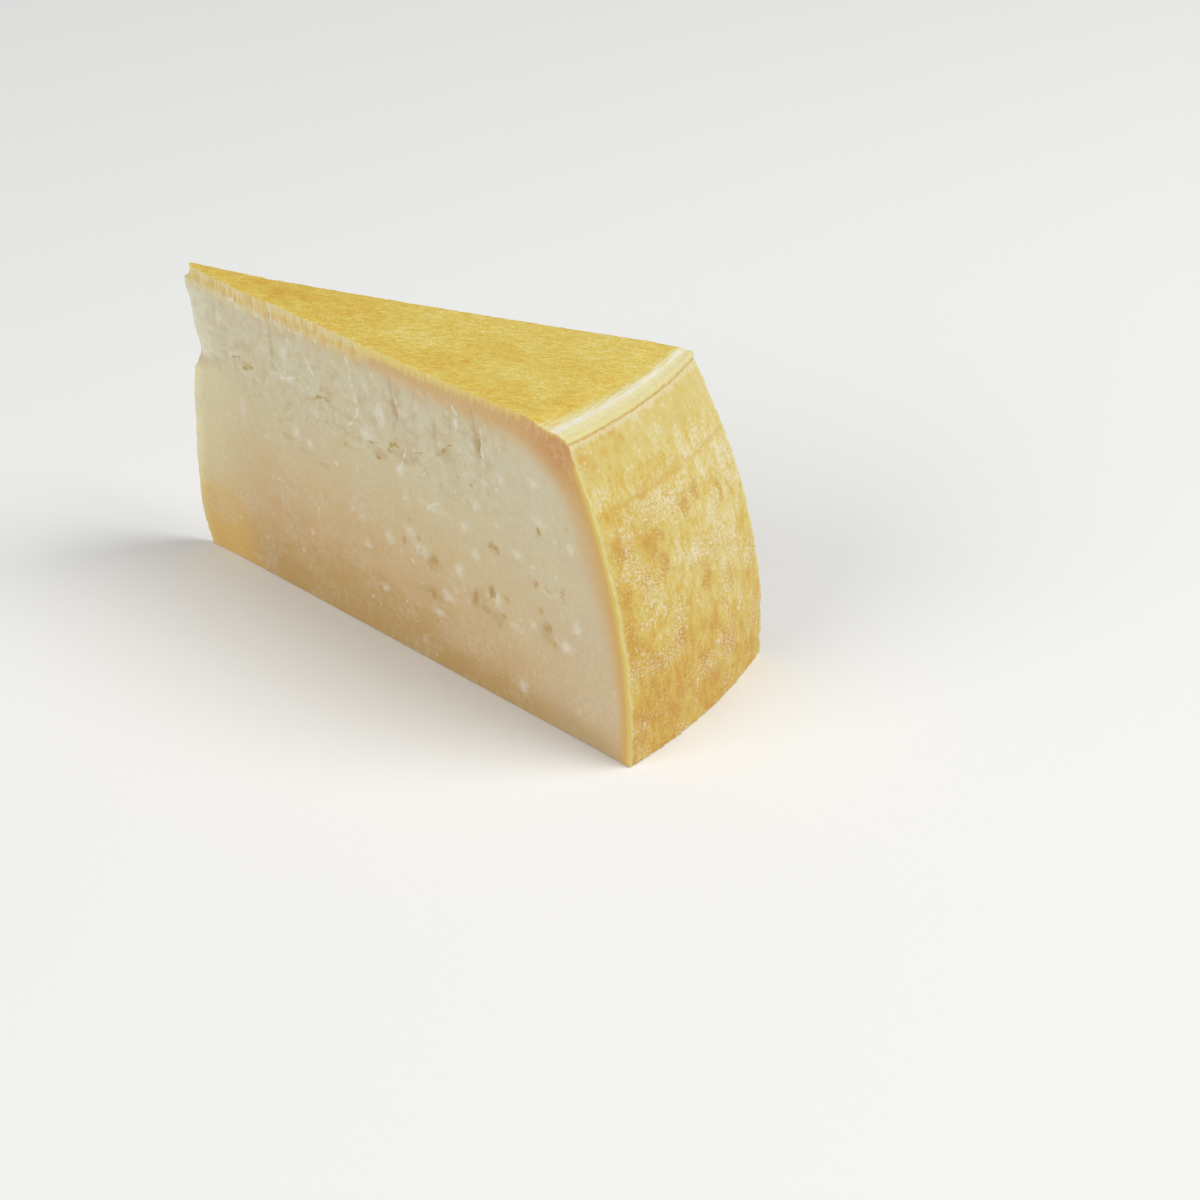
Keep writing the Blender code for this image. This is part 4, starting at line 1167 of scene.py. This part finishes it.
def mouldedHeelRind():
    look = heelRindLook
    material, tree, shader = startMaterial("mouldedHeelRind", look["surface"])
    place = addNode(tree, "ShaderNodeAttribute", {"attribute_name": "heelPlace"}).outputs["Vector"]
    patterns, total = layPatterns(tree, place, "heelShade", look["patterns"])
    colour = addNode(tree, "ShaderNodeValToRGB", {"ramp": look["ramp"]}, {0: total}).outputs["Color"]
    colour = paintLayers(tree, colour, patterns, look["layers"])
    colour = scatterGrains(tree, colour, place, patterns, look["bloom"])
    finishMaterial(tree, shader, colour, patterns, look["bumps"])
    return material


# White grains that grow in the paste as it ages. They are real lumps, half sunk in the cuts
crystalForm = {
    "count": 320,
    "radius": (0.13, 0.34),    # mm
    "sink": 0.35,              # share of the radius that lies under the surface
    "clearOfRind": 9.0,        # mm, they grow in the paste and not in the dry band
    "clearOfFoot": 3.0,        # mm
    "uneven": 0.28,            # share of the radius
    "stretch": (0.75, 1.3),    # times the radius, each way
    "squareOn": 0.85,          # a cut's surface looks at least this much sideways
    "subdivisions": 2,
    "seed": 41,
}


def buildCrystals(wedge):
    rng = np.random.default_rng(crystalForm["seed"])
    template = bmesh.new()
    bmesh.ops.create_icosphere(template, subdivisions=crystalForm["subdivisions"], radius=1.0)
    ball = np.array([vert.co[:] for vert in template.verts])
    ballFaces = np.array([[vert.index for vert in face.verts] for face in template.faces])
    template.free()

    mesh = wedge.data
    count = len(mesh.vertices)
    places, normals = np.empty(count * 3, np.float32), np.empty(count * 3, np.float32)
    toRind = np.empty(count, np.float32)
    mesh.vertices.foreach_get("co", places)
    mesh.vertex_normals.foreach_get("vector", normals)
    mesh.attributes["rindInside"].data.foreach_get("value", toRind)
    places, normals = places.reshape(-1, 3) / mm, normals.reshape(-1, 3)
    onCut = (np.abs(normals[:, 1]) > crystalForm["squareOn"]) & (-toRind > crystalForm["clearOfRind"])
    onCut = onCut & (places[:, 2] > crystalForm["clearOfFoot"])
    chosen = rng.choice(np.flatnonzero(onCut), crystalForm["count"], replace=False)

    points, faces = [], []
    for index in chosen:
        radius = rng.uniform(*crystalForm["radius"])
        lump = ball * (1.0 + crystalForm["uneven"] * rng.uniform(-1.0, 1.0, (len(ball), 1)))
        lump = lump * radius * rng.uniform(*crystalForm["stretch"], 3)
        centre = places[index] - normals[index] * radius * crystalForm["sink"]
        faces.extend((ballFaces + len(points) * len(ball)).tolist())
        points.append(lump + centre)
    crystalMesh = bpy.data.meshes.new("crystalMesh")
    crystalMesh.from_pydata((np.concatenate(points) * mm).tolist(), [], faces)
    crystalMesh.shade_smooth()
    return addObject("tyrosineCrystals", crystalMesh)


# Crystals of an amino acid that came out of the ageing paste: hard, white, dull, with a waxy edge
crystalLook = {
    "ramp": ((0.3, "#e8e0ca"), (0.7, "#f3eee0")),
    "grainSize": 0.4,       # mm
    "grainDetail": 2,
    "surface": {"Roughness": 0.55, "IOR": 1.52, "Subsurface Weight": 0.15, "Subsurface Scale": 1 * mm},
    "bumps": (("grain", 0.4, 0.1),),
}


def tyrosineGrain():
    look = crystalLook
    material, tree, shader = startMaterial("tyrosineGrain", look["surface"])
    coordinates = addNode(tree, "ShaderNodeTexCoord").outputs["Object"]
    grain = addNode(tree, "ShaderNodeTexNoise",
                    {"Scale": 1 / (look["grainSize"] * mm), "Detail": look["grainDetail"]},
                    {"Vector": coordinates})
    colour = addNode(tree, "ShaderNodeValToRGB", {"ramp": look["ramp"]}, {0: grain}).outputs["Color"]
    finishMaterial(tree, shader, colour, {"grain": grain}, look["bumps"])
    return material


wedge = buildWedge()
for material in (agedCutPaste(), oiledTopRind(), mouldedHeelRind(), wireCutFoot()):
    wedge.data.materials.append(material)
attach(wedge, "root")
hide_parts("cheese_wedge")
print("wedge built,", len(wedge.data.polygons), "faces")

crystals = buildCrystals(wedge)
crystals.data.materials.append(tyrosineGrain())
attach(crystals, "root")
print("crystals set,", crystalForm["count"])


# Plain pale floor and soft studio light
studio = {
    "floorColour": "#fafaf8",
    "floorRoughness": 0.9,
    "floorSize": 6.0,              # m
    "floorBelow": 0.0002,          # m, so that it doesn't meet the foot
    "worldColour": "#ffffff",
    "worldStrength": 0.3,
    "aim": (0.0, 0.0, 0.05),       # m, where both lamps look
    # place and size in m, power in W
    "lamps": {"key": ((1.6, 0.6, 2.2), 1.8, 46.0), "fill": ((-0.9, -2.2, 1.6), 2.0, 30.0)},
}


def buildStudio():
    bpy.ops.mesh.primitive_plane_add(size=studio["floorSize"], location=(0.0, 0.0, -studio["floorBelow"]))
    floor = bpy.context.object
    floor.name = "studioFloor"
    surface = {"Base Color": hexToLinear(studio["floorColour"]), "Roughness": studio["floorRoughness"]}
    paper, _, _ = startMaterial("matPaperSweep", surface)
    floor.data.materials.append(paper)
    world = bpy.data.worlds.new("softSky")
    world.use_nodes = True
    sky = world.node_tree.nodes["Background"]
    sky.inputs["Color"].default_value = hexToLinear(studio["worldColour"])
    sky.inputs["Strength"].default_value = studio["worldStrength"]
    bpy.context.scene.world = world
    for name, (place, size, power) in studio["lamps"].items():
        lamp = bpy.data.lights.new(name + "Light", "AREA")
        lamp.shape = "DISK"
        lamp.size = size
        lamp.energy = power
        lampObject = addObject(name + "Light", lamp)
        lampObject.location = place
        aim = Vector(studio["aim"]) - Vector(place)
        lampObject.rotation_euler = aim.to_track_quat("-Z", "Y").to_euler()
    bpy.context.scene.view_settings.view_transform = "Standard"


# The camera stands where the photograph was taken from
cameraView = {
    "place": (0.4273, -0.5963, 0.4837),    # m
    "azimuth": 31.26,                      # degrees round from straight ahead
    "elevation": 33.0,                     # degrees down
    "lens": 73.49,                         # mm
    "sensor": 36.0,                        # mm
}


def buildCamera():
    azimuth, elevation = math.radians(cameraView["azimuth"]), math.radians(cameraView["elevation"])
    back = Vector((math.sin(azimuth) * math.cos(elevation), -math.cos(azimuth) * math.cos(elevation),
                   math.sin(elevation)))
    cameraData = bpy.data.cameras.new("photoCamera")
    cameraData.lens = cameraView["lens"]
    cameraData.sensor_width = cameraView["sensor"]
    camera = addObject("photoCamera", cameraData)
    camera.location = cameraView["place"]
    camera.rotation_euler = (-back).to_track_quat("-Z", "Y").to_euler()
    bpy.context.scene.camera = camera


buildStudio()
buildCamera()
print("studio and camera set")
